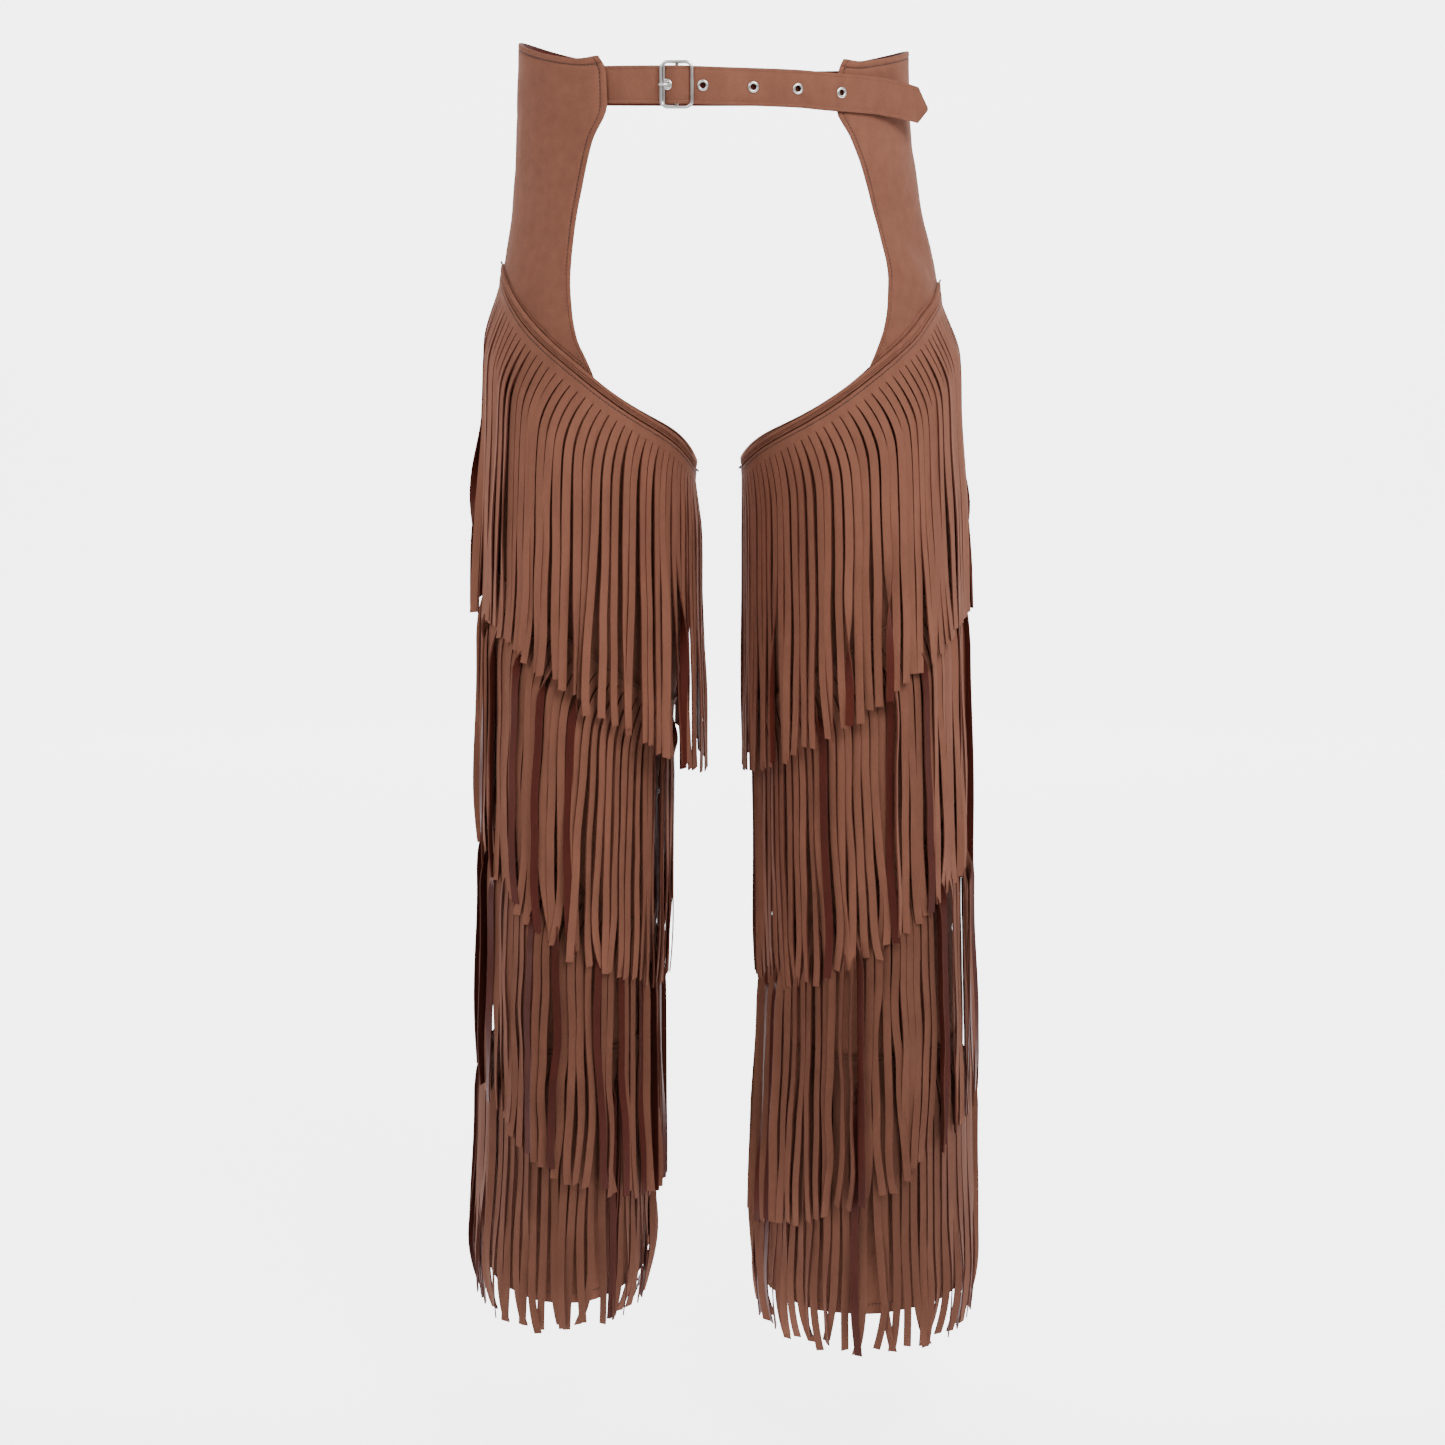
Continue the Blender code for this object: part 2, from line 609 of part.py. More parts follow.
def rod(name, points, radius, closed=False):
    """A round rod along points, made from a curve."""
    curve = bpy.data.curves.new(name, "CURVE")
    curve.dimensions = "3D"
    curve.bevel_depth = radius
    curve.bevel_resolution = 2
    curve.use_fill_caps = True
    spline = curve.splines.new("POLY")
    spline.points.add(len(points) - 1)
    spline.use_cyclic_u = closed
    for place, point in zip(spline.points, points):
        place.co = (*point, 1.0)
    made = bpy.data.objects.new(name, curve)
    bpy.context.collection.objects.link(made)
    return made


def buckle_frame():
    """A rounded rectangular frame, joined to a centre bar that lies behind its plane."""
    corners = []
    for corner, (right, up) in enumerate(((1, 1), (-1, 1), (-1, -1), (1, -1))):
        middle = Vector((right * (FRAME_HALF_WIDTH - FRAME_CORNER), up * (FRAME_HALF_HEIGHT - FRAME_CORNER), 0))
        for step in range(4):
            turn = math.radians(90 * corner + 30 * step)
            corners.append(middle + FRAME_CORNER * Vector((math.cos(turn), math.sin(turn), 0)))
    matrix = buckle_facing(FRAME_OUT)
    ring = rod("buckle_ring", [matrix @ point for point in corners], BAR_RADIUS, closed=True)
    bpy.context.view_layer.update()
    mesh = ring.evaluated_get(bpy.context.evaluated_depsgraph_get()).to_mesh()
    bm = bmesh.new()
    bm.from_mesh(mesh)
    bpy.data.objects.remove(ring)
    made = finish_mesh("buckle_frame", bm, POLISHED_STEEL)
    bar = bmesh.new()
    bmesh.ops.create_cone(
        bar, cap_ends=True, segments=8, depth=2 * FRAME_HALF_HEIGHT, radius1=BAR_RADIUS, radius2=BAR_RADIUS,
        matrix=buckle_facing(BAR_OUT) @ Matrix.Rotation(math.radians(90), 4, "X"),
    )
    combine(made, cutter("centre_bar", bar), "UNION")
    return made


def buckle_prong():
    """The tongue: a rod curled round the centre bar, up through the strap's hole and onto the side bar."""
    loop = []
    for degrees in steps(*TONGUE_CURL, 24):
        turn = math.radians(degrees)
        loop.append(Vector((TONGUE_LOOP * math.cos(turn), 0, BAR_OUT + TONGUE_LOOP * math.sin(turn))))
    points = loop + [Vector((bend.across, 0, bend.out)) for bend in TONGUE_BENDS]
    matrix = buckle_facing(0.0)
    made = rod("buckle_prong", [matrix @ point for point in points], TONGUE_RADIUS)
    made.data.materials.append(material("buckle_prong", POLISHED_STEEL))
    return made


def buckle_strap():
    """The short strap: under the right yoke, then folded round the centre bar beside the tongue."""
    angles = steps(BUCKLE_STRAP_END, 36, 5) + steps(30, -6, 6)
    outs = [UNDER_YOKE if angle > 34 else BUCKLE_STRAP_OUT for angle in angles]
    points = [waist(angle, out) for angle, out in zip(angles, outs)]
    thickness = [STRAP] * len(points)
    matrix = buckle_facing(0.0)
    fold = BAR_RADIUS + METAL_GAP + LOOP_STRAP / 2
    for across, out in ((0.0052, BUCKLE_STRAP_OUT), (0.0028, BAR_OUT - fold - METAL_GAP)):
        points.append(matrix @ Vector((across, 0, out)))
        thickness.append(LOOP_STRAP)
    for degrees in steps(*LOOP_TURN, 27.5):
        turn = math.radians(degrees)
        points.append(matrix @ Vector((fold * math.cos(turn), 0, BAR_OUT + fold * math.sin(turn))))
        thickness.append(LOOP_STRAP)
    points = [Vector((point.x, point.y, 0)) for point in points]
    rise = smooth(BELT_PATH, BUCKLE_ANGLE, "rise")
    rises = [smooth(BELT_PATH, angle, "rise") for angle in angles] + [rise] * (len(points) - len(angles))
    made = strap("buckle_strap", points, rises, [BELT_WIDTH / 2] * len(points), thickness)
    slot = bmesh.new()
    bmesh.ops.create_cube(slot, size=1.0)
    size = (TONGUE_SLOT.length, TONGUE_SLOT.height, TONGUE_SLOT.depth)
    bmesh.ops.scale(slot, verts=slot.verts[:], vec=size)
    bmesh.ops.translate(slot, verts=slot.verts[:], vec=(TONGUE_SLOT.across, 0, BAR_OUT))
    bmesh.ops.transform(slot, verts=slot.verts[:], matrix=matrix)
    combine(made, cutter("tongue_slot", slot), "DIFFERENCE")
    return made


def back_strap():
    """Plain strap that joins the yokes across the back."""
    angles = steps(180 - BACK_STRAP_REACH, 180 + BACK_STRAP_REACH, 6.5)
    points = [waist(angle, BACK_STRAP_OUT) for angle in angles]
    count = len(points)
    return strap("back_strap", points, [0.0] * count, [BELT_WIDTH / 2] * count, [STRAP] * count)


def main():
    for old in list(bpy.data.objects):
        bpy.data.objects.remove(old)
    for side in (LEFT, RIGHT):
        yoke(side)
        angles, outseam = leg_angles(side)
        leg_panel(side, "leg_front", angles[: outseam + 1])
        leg_panel(side, "leg_back", angles[outseam:])
        top_band(side)
        for number in range(1, len(side.tiers) + 1):
            fringe(side, number)
    belt_strap()
    buckle_strap()
    back_strap()
    buckle_frame()
    buckle_prong()
    for number, angle in enumerate(EYELET_ANGLES, 1):
        eyelet(number, angle)


main()
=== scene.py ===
"""Dresses the fringed chaps: suede cloth, cut fringe, stitching, belt and polished metal.

Metres, +Z up, front towards -Y. Left and right are the picture's left (-X) and right (+X).
Angles on a side run from the front towards its outer side.
"""

import math
import random
from collections import namedtuple

import bmesh
import bpy
from bpy.props import FloatProperty, FloatVectorProperty, PointerProperty
from bpy.types import Operator, Panel, PropertyGroup
from mathutils import Matrix, Vector, noise


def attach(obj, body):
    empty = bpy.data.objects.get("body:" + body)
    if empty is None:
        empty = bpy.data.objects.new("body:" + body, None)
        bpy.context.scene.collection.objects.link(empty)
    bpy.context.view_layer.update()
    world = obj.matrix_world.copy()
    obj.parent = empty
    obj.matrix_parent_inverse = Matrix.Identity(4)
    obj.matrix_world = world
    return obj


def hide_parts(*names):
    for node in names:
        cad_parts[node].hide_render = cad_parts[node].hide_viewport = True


bl_info = {
    "name": "Fringed chaps",
    "version": (1, 0, 0),
    "blender": (4, 5, 0),
    "location": "View3D > Sidebar > Chaps",
    "description": "Builds suede fringed chaps with a buckled belt",
    "category": "Object",
}

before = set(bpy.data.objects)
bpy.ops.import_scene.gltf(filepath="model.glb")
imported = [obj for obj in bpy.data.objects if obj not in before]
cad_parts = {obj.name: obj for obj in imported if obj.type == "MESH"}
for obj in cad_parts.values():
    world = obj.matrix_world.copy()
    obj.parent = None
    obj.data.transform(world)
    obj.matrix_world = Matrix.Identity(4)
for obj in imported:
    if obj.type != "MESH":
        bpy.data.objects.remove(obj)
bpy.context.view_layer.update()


def table(kind, *rows):
    return tuple(kind(*row) for row in rows)


# Worn form, one row for each height. Widths run outwards from the midline of the figure.
Section = namedtuple("Section", "height centre_x half_width centre_y half_depth")
LEFT_SECTIONS = table(
    Section,
    (0.045, 0.0060, 0.1520, 0.000, 0.1115),
    (0.020, 0.0060, 0.1527, 0.000, 0.1120),
    (-0.020, 0.0060, 0.1547, 0.000, 0.1135),
    (-0.060, 0.0095, 0.1537, 0.001, 0.1180),
    (-0.100, 0.0200, 0.1465, 0.003, 0.1220),
    (-0.130, 0.0370, 0.1345, 0.004, 0.1235),
    (-0.160, 0.0580, 0.1182, 0.004, 0.1215),
    (-0.200, 0.0850, 0.0960, 0.003, 0.1115),
    (-0.250, 0.1000, 0.0830, 0.001, 0.1020),
    (-0.300, 0.1040, 0.0815, 0.000, 0.0990),
    (-0.380, 0.1070, 0.0810, 0.000, 0.0980),
    (-0.460, 0.1105, 0.0775, 0.000, 0.0965),
    (-0.530, 0.1180, 0.0710, 0.000, 0.0955),
    (-0.590, 0.1230, 0.0670, 0.001, 0.0950),
    (-0.770, 0.1250, 0.0650, 0.002, 0.0950),
    (-0.860, 0.1270, 0.0650, 0.003, 0.0970),
    (-0.950, 0.1315, 0.0665, 0.004, 0.1000),
    (-1.020, 0.1360, 0.0690, 0.004, 0.1030),
)
RIGHT_SECTIONS = table(
    Section,
    (0.045, -0.0060, 0.1540, 0.000, 0.1115),
    (0.020, -0.0060, 0.1546, 0.000, 0.1120),
    (-0.020, -0.0060, 0.1560, 0.000, 0.1135),
    (-0.060, -0.0020, 0.1572, 0.001, 0.1180),
    (-0.100, 0.0120, 0.1500, 0.003, 0.1220),
    (-0.130, 0.0320, 0.1378, 0.004, 0.1235),
    (-0.160, 0.0560, 0.1202, 0.004, 0.1215),
    (-0.200, 0.0850, 0.0950, 0.003, 0.1115),
    (-0.250, 0.1000, 0.0835, 0.001, 0.1020),
    (-0.300, 0.1035, 0.0830, 0.000, 0.0990),
    (-0.380, 0.1065, 0.0835, 0.000, 0.0980),
    (-0.460, 0.1080, 0.0820, 0.000, 0.0960),
    (-0.530, 0.1155, 0.0790, 0.000, 0.0920),
    (-0.590, 0.1230, 0.0740, 0.001, 0.0890),
    (-0.680, 0.1225, 0.0745, 0.001, 0.0880),
    (-0.770, 0.1240, 0.0790, 0.002, 0.0880),
    (-0.860, 0.1225, 0.0815, 0.003, 0.0890),
    (-0.950, 0.1225, 0.0865, 0.003, 0.0910),
    (-1.030, 0.1250, 0.0890, 0.003, 0.0920),
)

# Folds: a trough has a negative depth
Fold = namedtuple("Fold", "angle height slant length width depth")
LEFT_FOLDS = table(
    Fold,
    (52.0, -0.125, 62.0, 0.045, 0.016, -0.0022),
    (-18.0, -1.010, 84.0, 0.070, 0.020, 0.0025),
    (35.0, -1.000, 97.0, 0.060, 0.018, -0.0022),
    (150.0, -0.560, 25.0, 0.060, 0.020, -0.0030),
    (205.0, -0.990, 80.0, 0.070, 0.020, 0.0025),
    (48.0, -0.030, -35.0, 0.030, 0.008, -0.0007),
    (95.0, -0.055, 30.0, 0.040, 0.010, -0.0009),
    (118.0, -0.150, -55.0, 0.050, 0.012, -0.0012),
)
RIGHT_FOLDS = table(
    Fold,
    (63.0, -0.118, -52.0, 0.050, 0.015, -0.0034),
    (48.0, -0.165, -40.0, 0.035, 0.014, -0.0018),
    (-28.0, -1.020, 80.0, 0.070, 0.020, 0.0025),
    (22.0, -1.010, 95.0, 0.060, 0.018, -0.0025),
    (195.0, -0.570, -22.0, 0.060, 0.020, -0.0030),
    (150.0, -1.000, 96.0, 0.070, 0.020, 0.0025),
    (80.0, -0.060, 40.0, 0.040, 0.010, -0.0009),
    (110.0, -0.140, -50.0, 0.050, 0.012, -0.0012),
    (56.0, -0.048, -20.0, 0.030, 0.007, -0.0006),
)

# Seam between yoke and leg, and the front edge of each yoke
Seam = namedtuple("Seam", "middle slant lift sag")
SEAT_DIP = 0.024
LEFT_SEAM = Seam(-0.2200, 0.0590, 0.0205, 0.0052)
RIGHT_SEAM = Seam(-0.2260, 0.0560, 0.0150, 0.0050)
Edge = namedtuple("Edge", "height across")
LEFT_EDGE = table(
    Edge,
    (0.020, 0.0930), (0.008, 0.0865), (-0.017, 0.0857),
    (-0.044, 0.0974), (-0.077, 0.1055), (-0.116, 0.1129),
    (-0.150, 0.1157), (-0.175, 0.1137), (-0.193, 0.1100),
    (-0.206, 0.1040), (-0.220, 0.0979),
)
RIGHT_EDGE = table(
    Edge,
    (0.0176, 0.0945), (0.006, 0.0900), (-0.020, 0.0890),
    (-0.042, 0.1007), (-0.079, 0.1149), (-0.119, 0.1254),
    (-0.150, 0.1316), (-0.170, 0.1300), (-0.187, 0.1264),
    (-0.203, 0.1204), (-0.217, 0.1143),
)
YOKE_BACK_EDGE = 1.22
YOKE_RISE_STARTS, YOKE_PEAK = 36.0, 96.0
YOKE_WIDTH, YOKE_COLUMN, YOKE_ROW = 0.285, 0.0042, 0.0045

# Fringe: a tier's tips lie on a ring of their own
Tier = namedtuple("Tier", "header slant tip tip_slant tip_bend inner outer depth")
LEFT_TIERS = table(
    Tier,
    (None, None, -0.470, 0.071, -0.016, 0.0137, 0.2020, 0.1110),
    (-0.4360, 0.060, -0.680, 0.060, 0.000, 0.0450, 0.2030, 0.1105),
    (-0.6300, 0.055, -0.875, 0.054, 0.000, 0.0520, 0.2065, 0.1135),
    (-0.7780, 0.000, -1.024, 0.000, 0.000, 0.0600, 0.2190, 0.1115),
)
RIGHT_TIERS = table(
    Tier,
    (None, None, -0.484, 0.069, -0.003, 0.0195, 0.2070, 0.1090),
    (-0.4360, 0.060, -0.688, 0.056, 0.000, 0.0345, 0.2110, 0.1015),
    (-0.6380, 0.055, -0.901, 0.053, 0.000, 0.0280, 0.2190, 0.1035),
    (-0.7850, 0.000, -1.049, 0.000, 0.000, 0.0300, 0.2255, 0.1030),
)
TIP_CENTRE_Y = 0.003
TOP_BAND = 0.0060
FRINGE_BAND = 0.0100

Side = namedtuple("Side", "name sign sections folds seam edge top top_rise hem tiers")
LEFT = Side(
    "left", -1, LEFT_SECTIONS, LEFT_FOLDS, LEFT_SEAM, LEFT_EDGE,
    top=0.0190, top_rise=0.0150, hem=-1.002, tiers=LEFT_TIERS,
)
RIGHT = Side(
    "right", 1, RIGHT_SECTIONS, RIGHT_FOLDS, RIGHT_SEAM, RIGHT_EDGE,
    top=0.0165, top_rise=0.0110, hem=-1.017, tiers=RIGHT_TIERS,
)
SIDES = (LEFT, RIGHT)

# Leg panels
OUTSEAM, INSEAM = math.radians(42.0), math.radians(-90.0)
SEAM_GAP = 0.0004
LEG_ROWS, LEG_ROW_SPREAD = 64, 1.15
LEG_COLUMN_TURN = math.radians(5.0)
# Small unevenness of the cloth: its height, and how fast it changes round and up the body
Ripple = namedtuple("Ripple", "height around up seed")
YOKE_RIPPLE = Ripple(0.00035, 9.0, 60.0, 1.0)
LEG_RIPPLE = Ripple(0.0009, 3.0, 11.0, 4.0)

# Layers, from the cloth outwards
CAD_CLOTH = 0.0015
FRINGE_OUT = CAD_CLOTH + 0.0009
BAND_THICKNESS, BAND_DEPTH = 0.0009, 0.0006
BAND_RISE, BAND_COLUMNS = 0.0003, 128

# Small forms near an edge: how far in, and how far the surface stands out there
Rib = namedtuple("Rib", "inset out")
YOKE_EDGE_RIBS = table(
    Rib,
    (0.0000, -0.00035), (0.0008, 0.0), (0.0044, 0.00012), (0.0052, -0.00035),
    (0.0057, -0.00065), (0.0062, -0.00035), (0.0070, 0.00005), (0.0110, 0.0),
)
TOP_BAND_RIBS = table(
    Rib,
    (-0.0009, 0.0), (-0.0005, 0.00045), (0.0008, 0.00065), (0.0016, 0.00045),
    (0.0020, -0.00045), (0.0024, 0.00045), (0.0031, 0.00055), (0.0035, -0.00045),
    (0.0039, 0.00040), (0.0046, 0.00035), (0.0050, 0.0),
)
FRINGE_BAND_RIBS = table(
    Rib,
    (0.0000, 0.0), (0.0022, 0.00015), (0.0028, -0.00045), (0.0034, 0.00015),
    (0.0100, 0.0),
)
FLARE_HEIGHT, FLARE_WIDTH, FLARE_FALL = 0.0022, 0.030, 6.0

# Stitch lines: how far from the edges, how deep the thread sinks, how many steps a line has
HEM_INSET, YOKE_LOW_INSET = 0.009, 0.0026
YOKE_STITCH_SINK, FRINGE_STITCH_SINK = 0.0003, 0.0001
LINE_STEPS, ROUND_STEPS, SLIT_STEPS = 60, 180, 720
STITCH_SKEW = 0.08
# Frayed ends of the leg seams: where they are, below the seam, and how they stand up
SeamEnd = namedtuple("SeamEnd", "angle below rise")
SEAM_ENDS = (SeamEnd(INSEAM, 0.0062, -0.9), SeamEnd(math.pi / 2, -0.0004, 2.2))
SEAM_END_TURNS, SEAM_END_OUT, SEAM_END_SCATTER = (-0.012, 0.0, 0.013), 0.0008, 0.0006
SEAM_END_LENGTHS, SEAM_END_SECTION = (0.0019, 0.0027), (0.0006, 0.0007)

# How a strand leaves the band and hangs, by its share of the way down
Hang = namedtuple("Hang", "reach spread")
HANG = (Hang(0.0, 0.0), Hang(0.17, 0.52), Hang(0.37, 0.61), Hang(0.685, 0.83), Hang(1.0, 1.0))
# Rows down a strand, closer where it twists
STRAND_REACH = tuple(0.0125 * row for row in range(1, 25))
STRAND_REACH += tuple(0.30 + 0.035 * row for row in range(1, 21))
# Share of the dark reverse colour on a strand's cut sides: partly the cut edge's own colour, partly
# painted shade for the dark lines between strands
CUT_EDGE_AND_GAP_SHADE = 0.75
# How the strands of each tier behave, first tier first. Drift is shared by neighbours, sway is a
# strand's own; wobble and shingle are turns in degrees; turned and tilted are the shares of strands
# that show their reverse or stand edge on; curl bends a tip sideways, tuck bends it in, tip_turn is
# its own turn in degrees, and the last column is painted shade: it darkens the lower tiers and
# lightens the first, as light falls off down the legs.
Habit = namedtuple("Habit", "drift sway wobble shingle turned tilted curl tuck tip_turn dull")
HABITS = table(
    Habit,
    (0.0028, 0.0007, 4.5, 10.0, 0.03, 0.05, 0.0024, 0.000, 0.0, -0.30),
    (0.0050, 0.0010, 7.0, 11.0, 0.13, 0.10, 0.0030, 0.002, 10.0, 0.0),
    (0.0074, 0.0012, 8.0, 11.0, 0.24, 0.11, 0.0034, 0.001, 10.0, 0.42),
    (0.0034, 0.0009, 6.0, 9.0, 0.05, 0.04, 0.0046, 0.009, 30.0, 0.72),
)
# Where a strand turns over: the reach at which it starts, and over which it does so. Below the first
# tier that is hidden under the tier above.
Twist = namedtuple("Twist", "start length")
FIRST_TWIST, LOWER_TWIST = Twist((0.25, 0.45), (0.40, 0.55)), Twist((0.0, 0.03), (0.15, 0.22))
TURNED_BY, TILTED_BY = (0.86, 1.08), (30, 70)
SECOND_TURN_KEPT = 0.06
# Chances that grow towards the outer edge of a leg
OUTER_TURNED, OUTER_TILTED, STRAY_CHANCE = 0.06, 0.26, 0.035
STRAY_BY, SHADE, SHADE_SPREAD, SHADE_LIMITS = (0.004, 0.009), 0.5, 0.13, (0.05, 0.95)
# Slit: the share of a strand's angle left empty at each edge, and of the rest that is cloth
SLIT_SHARE, STRAND_FILL = 0.045, 0.985
# How uneven strands are: the place of a tip, how far they stand off, how askew a tip is cut
TIP_SCATTER, TIP_ANGLE_SCATTER = 0.0022, 0.010
LIFT, CUT_SKEW = (-0.0005, 0.0010), 0.0007
# At a leg's sides strands wobble more, overlap the other way and drift less
SIDE_WOBBLE, OVERLAP_GAIN, OVERLAP_FLIP = 0.4, 1.6, 1.7
TIP_TURN_RANGE, TUCK_RANGE = (0.6, 1.3), (0.4, 1.4)
SIDE_STEADY = 0.7
# Drift is a noise that strands read at their own place: its scales round the leg, by tier, by side and
# down the strand, then the share and scale of its finer part
DRIFT_AROUND, DRIFT_TIER, DRIFT_SIDE, DRIFT_DOWN = 3.1, 7.0, 40.0, 1.7
FINE_DRIFT, FINE_SCALE = 0.45, 2.7
# Waves down a strand: sideways, outwards and in its turn
SWAY_WAVE, LIFT_WAVE, TURN_WAVE, LIFT_WAVE_HEIGHT = 5.2, 6.5, 7.5, 0.0010
# How soon each change is complete: one over the share of the way down
DRIFT_RATE, LIFT_RATE, TURN_RATE, ROOM_RATE, NARROW_RATE, WIDE_RATE = 1.8, 5, 7, 4, 8, 5
# Below its band a strand swings from square to the slanted edge to upright within this drop
BEND_DEPTH, BEND_SHIFT, BEND_TILT = 0.018, 0.9, 0.7
# Reach at which the tip's curl and turn start
CURL_STARTS, TIP_TURN_STARTS, TIP_TURN_LENGTH = 0.76, 0.5, 0.35
# Room that a turn needs from the strands behind: on edge, turned over, and always
EDGE_ROOM, TURNED_ROOM, CLEARANCE = 0.46, 0.0011, 0.0014
NARROWED, SIDE_WIDENED = 0.03, 0.20

# Belt. Out is the distance of the strap's middle from the waist ring; rise is its height.
BELT_WIDTH, STRAP, LOOP_STRAP = 0.028, 0.0020, 0.0012
METAL_GAP = 0.0003
Path = namedtuple("Path", "angle out rise")
BUCKLE_ANGLE = -9.8
FRAME_OUT = 0.0034
BAR_RADIUS = 0.0013
FRAME_HALF_WIDTH, FRAME_HALF_HEIGHT, FRAME_CORNER = 0.0117, 0.0166, 0.0050
BAR_OUT = FRAME_OUT - 0.0020
TONGUE_RADIUS = 0.0009
TONGUE_LOOP = BAR_RADIUS + METAL_GAP + TONGUE_RADIUS
TONGUE_REST = FRAME_OUT + BAR_RADIUS + METAL_GAP + TONGUE_RADIUS + 0.0002
SLIM_BAR_ACROSS, SLIM_BAR_OUT, SLIM_BAR_RADIUS = -0.0093, 0.0041, 0.0007
SLIM_BAR_SHORTER = 0.0006
UNDER_BAR = FRAME_OUT - BAR_RADIUS - METAL_GAP - STRAP / 2
OVER_BAR = BAR_OUT + TONGUE_LOOP + TONGUE_RADIUS + METAL_GAP + STRAP / 2
UNDER_YOKE = -0.0027
BELT_PATH = table(
    Path,
    (-52.0, UNDER_YOKE, -0.0004),
    (-33.0, UNDER_YOKE, -0.0004),
    (-24.0, 0.0000, -0.0004),
    (-14.4, UNDER_BAR, -0.0005),
    (BUCKLE_ANGLE, OVER_BAR, -0.0006),
    (-5.2, UNDER_BAR, -0.0009),
    (2.0, 0.0010, -0.0016),
    (25.0, 0.0011, -0.0036),
    (33.0, 0.0042, -0.0053),
    (46.0, 0.0042, -0.0072),
)
FreeEnd = namedtuple("FreeEnd", "distance rise half_height")
FREE_END = table(
    FreeEnd,
    (0.0060, -0.0076, 0.0140), (0.0120, -0.0080, 0.0140),
    (0.0180, -0.0085, 0.0140), (0.0280, -0.0098, 0.0140),
    (0.0380, -0.0112, 0.0140), (0.0480, -0.0130, 0.0139),
    (0.0575, -0.0150, 0.0137), (0.0670, -0.0180, 0.0012),
)
BUCKLE_STRAP_OUT, BUCKLE_STRAP_END = -0.0015, 52.0
BACK_STRAP_OUT, BACK_STRAP_REACH = -0.0022, 52.0
EYELET_ANGLES = (-12.0, -2.5, 11.5, 24.5, 38.2)
EYELET_RADIUS, EYELET_HOLE, LAY_GAP = 0.00425, 0.00235, 0.0005
TongueBend = namedtuple("TongueBend", "across out")
TONGUE_BENDS = (
    TongueBend(-0.0056, 0.0034),
    TongueBend(-0.0078, TONGUE_REST - 0.0007),
    TongueBend(-0.0100, TONGUE_REST),
    TongueBend(-0.0130, TONGUE_REST),
)
# Rows across a strap: its share of the width, and how far its faces draw in there
StrapRow = namedtuple("StrapRow", "share draw")
STRAP_ROWS = table(
    StrapRow,
    (0.0, 0.00055), (0.03, 0.00012), (0.075, 0.0), (0.095, 0.00022),
    (0.115, 0.0), (0.5, -0.00010), (0.885, 0.0), (0.905, 0.00022),
    (0.925, 0.0), (0.97, 0.00012), (1.0, 0.00055),
)

# Flat cuts: the rectangle that a piece is cut from, and its own area
Cut = namedtuple("Cut", "width length area")

SHARP = math.radians(40.0)
TONE = "tone"
# Suede: noise scales, their shares in its light and its relief, and the brightness that they reach
Mottle = namedtuple("Mottle", "scale light relief")
CLOUD, PATCH = Mottle(17.0, 0.44, 0.0), Mottle(110.0, 0.42, 0.9)
NAP, GRAIN = Mottle(1100.0, 0.30, 0.6), Mottle(1500.0, 0.10, 0.25)
# A strand's random shade, less its tier's painted shade, moves the brightness of the mottling
SHADE_LIGHT, LIGHT_RANGE = 0.34, (0.50, 1.05)
# The last two values are painted shade: the dark tone that the lower tiers' face is mixed towards, and
# how far
NAPPED_TONES, REVERSE_TONES, PAINTED_SHADE_TONE, PAINTED_SHADE_SHARE = (0.78, 1.24), (0.75, 1.35), 0.2, 0.45
THREAD_TONES, METAL_TONES = (0.6, 1.6), (0.88, 1.06)

# Camera and stage
CAMERA_PLACE = (0.002, -2.08, -0.038)
CAMERA_DIP = math.radians(13.05)
CAMERA_LENS = 63.1
FLOOR_HEIGHT = -1.17
# The paper sweep glows behind the chaps, as in a high-key studio, and stays dull in front of them
BACKDROP_GLOW, FRONT_GLOW, GLOW_STARTS, GLOW_FULL = 5.0, 0.06, -0.9, 0.15
GLOW_WIDTH, GLOW_EDGE, GLOW_ASIDE = 1.8, 3.4, 0.12
FRONT_LIGHT, BACK_LIGHT, LIGHT_TURNS = 0.12, 0.8, (-0.5, 0.7)
FLOOR_REACH, FLOOR_FRONT, FLOOR_BACK, FLOOR_BEND, WALL_TOP = 6.0, -5.0, 2.6, 1.2, 3.5
Lamp = namedtuple("Lamp", "name place aim size power")
LAMPS = (
    Lamp("key", (0.62, -1.08, 0.90), (0.05, 0.0, 0.05), 1.0, 35.5),
    Lamp("fill", (-1.05, -1.2, 0.86), (0.0, 0.0, 0.0), 1.1, 17.5),
    Lamp("back", (-0.6, 1.7, 1.2), (0.0, 0.0, -0.2), 1.3, 9.0),
)


def size(name, description, default):
    return FloatProperty(name=name, description=description, default=default, unit="LENGTH")


def tint(name, description, default):
    return FloatVectorProperty(name=name, description=description, default=default, subtype="COLOR")


class ChapsSizes(PropertyGroup):
    """Sizes that a maker would change."""

    cloth: size("Cloth", "Thickness of the suede", 0.0014)
    strand_pitch: size("Strand pitch", "Distance between two slits along a fringe band", 0.0074)
    strand_thickness: size("Strand thickness", "Thickness of the fringe suede", 0.0011)
    stitch_pitch: size("Stitch pitch", "Distance between two stitches", 0.0031)
    stitch_length: size("Stitch length", "Length of a stitch that shows", 0.0023)
    thread: size("Thread", "Radius of the thread", 0.00048)


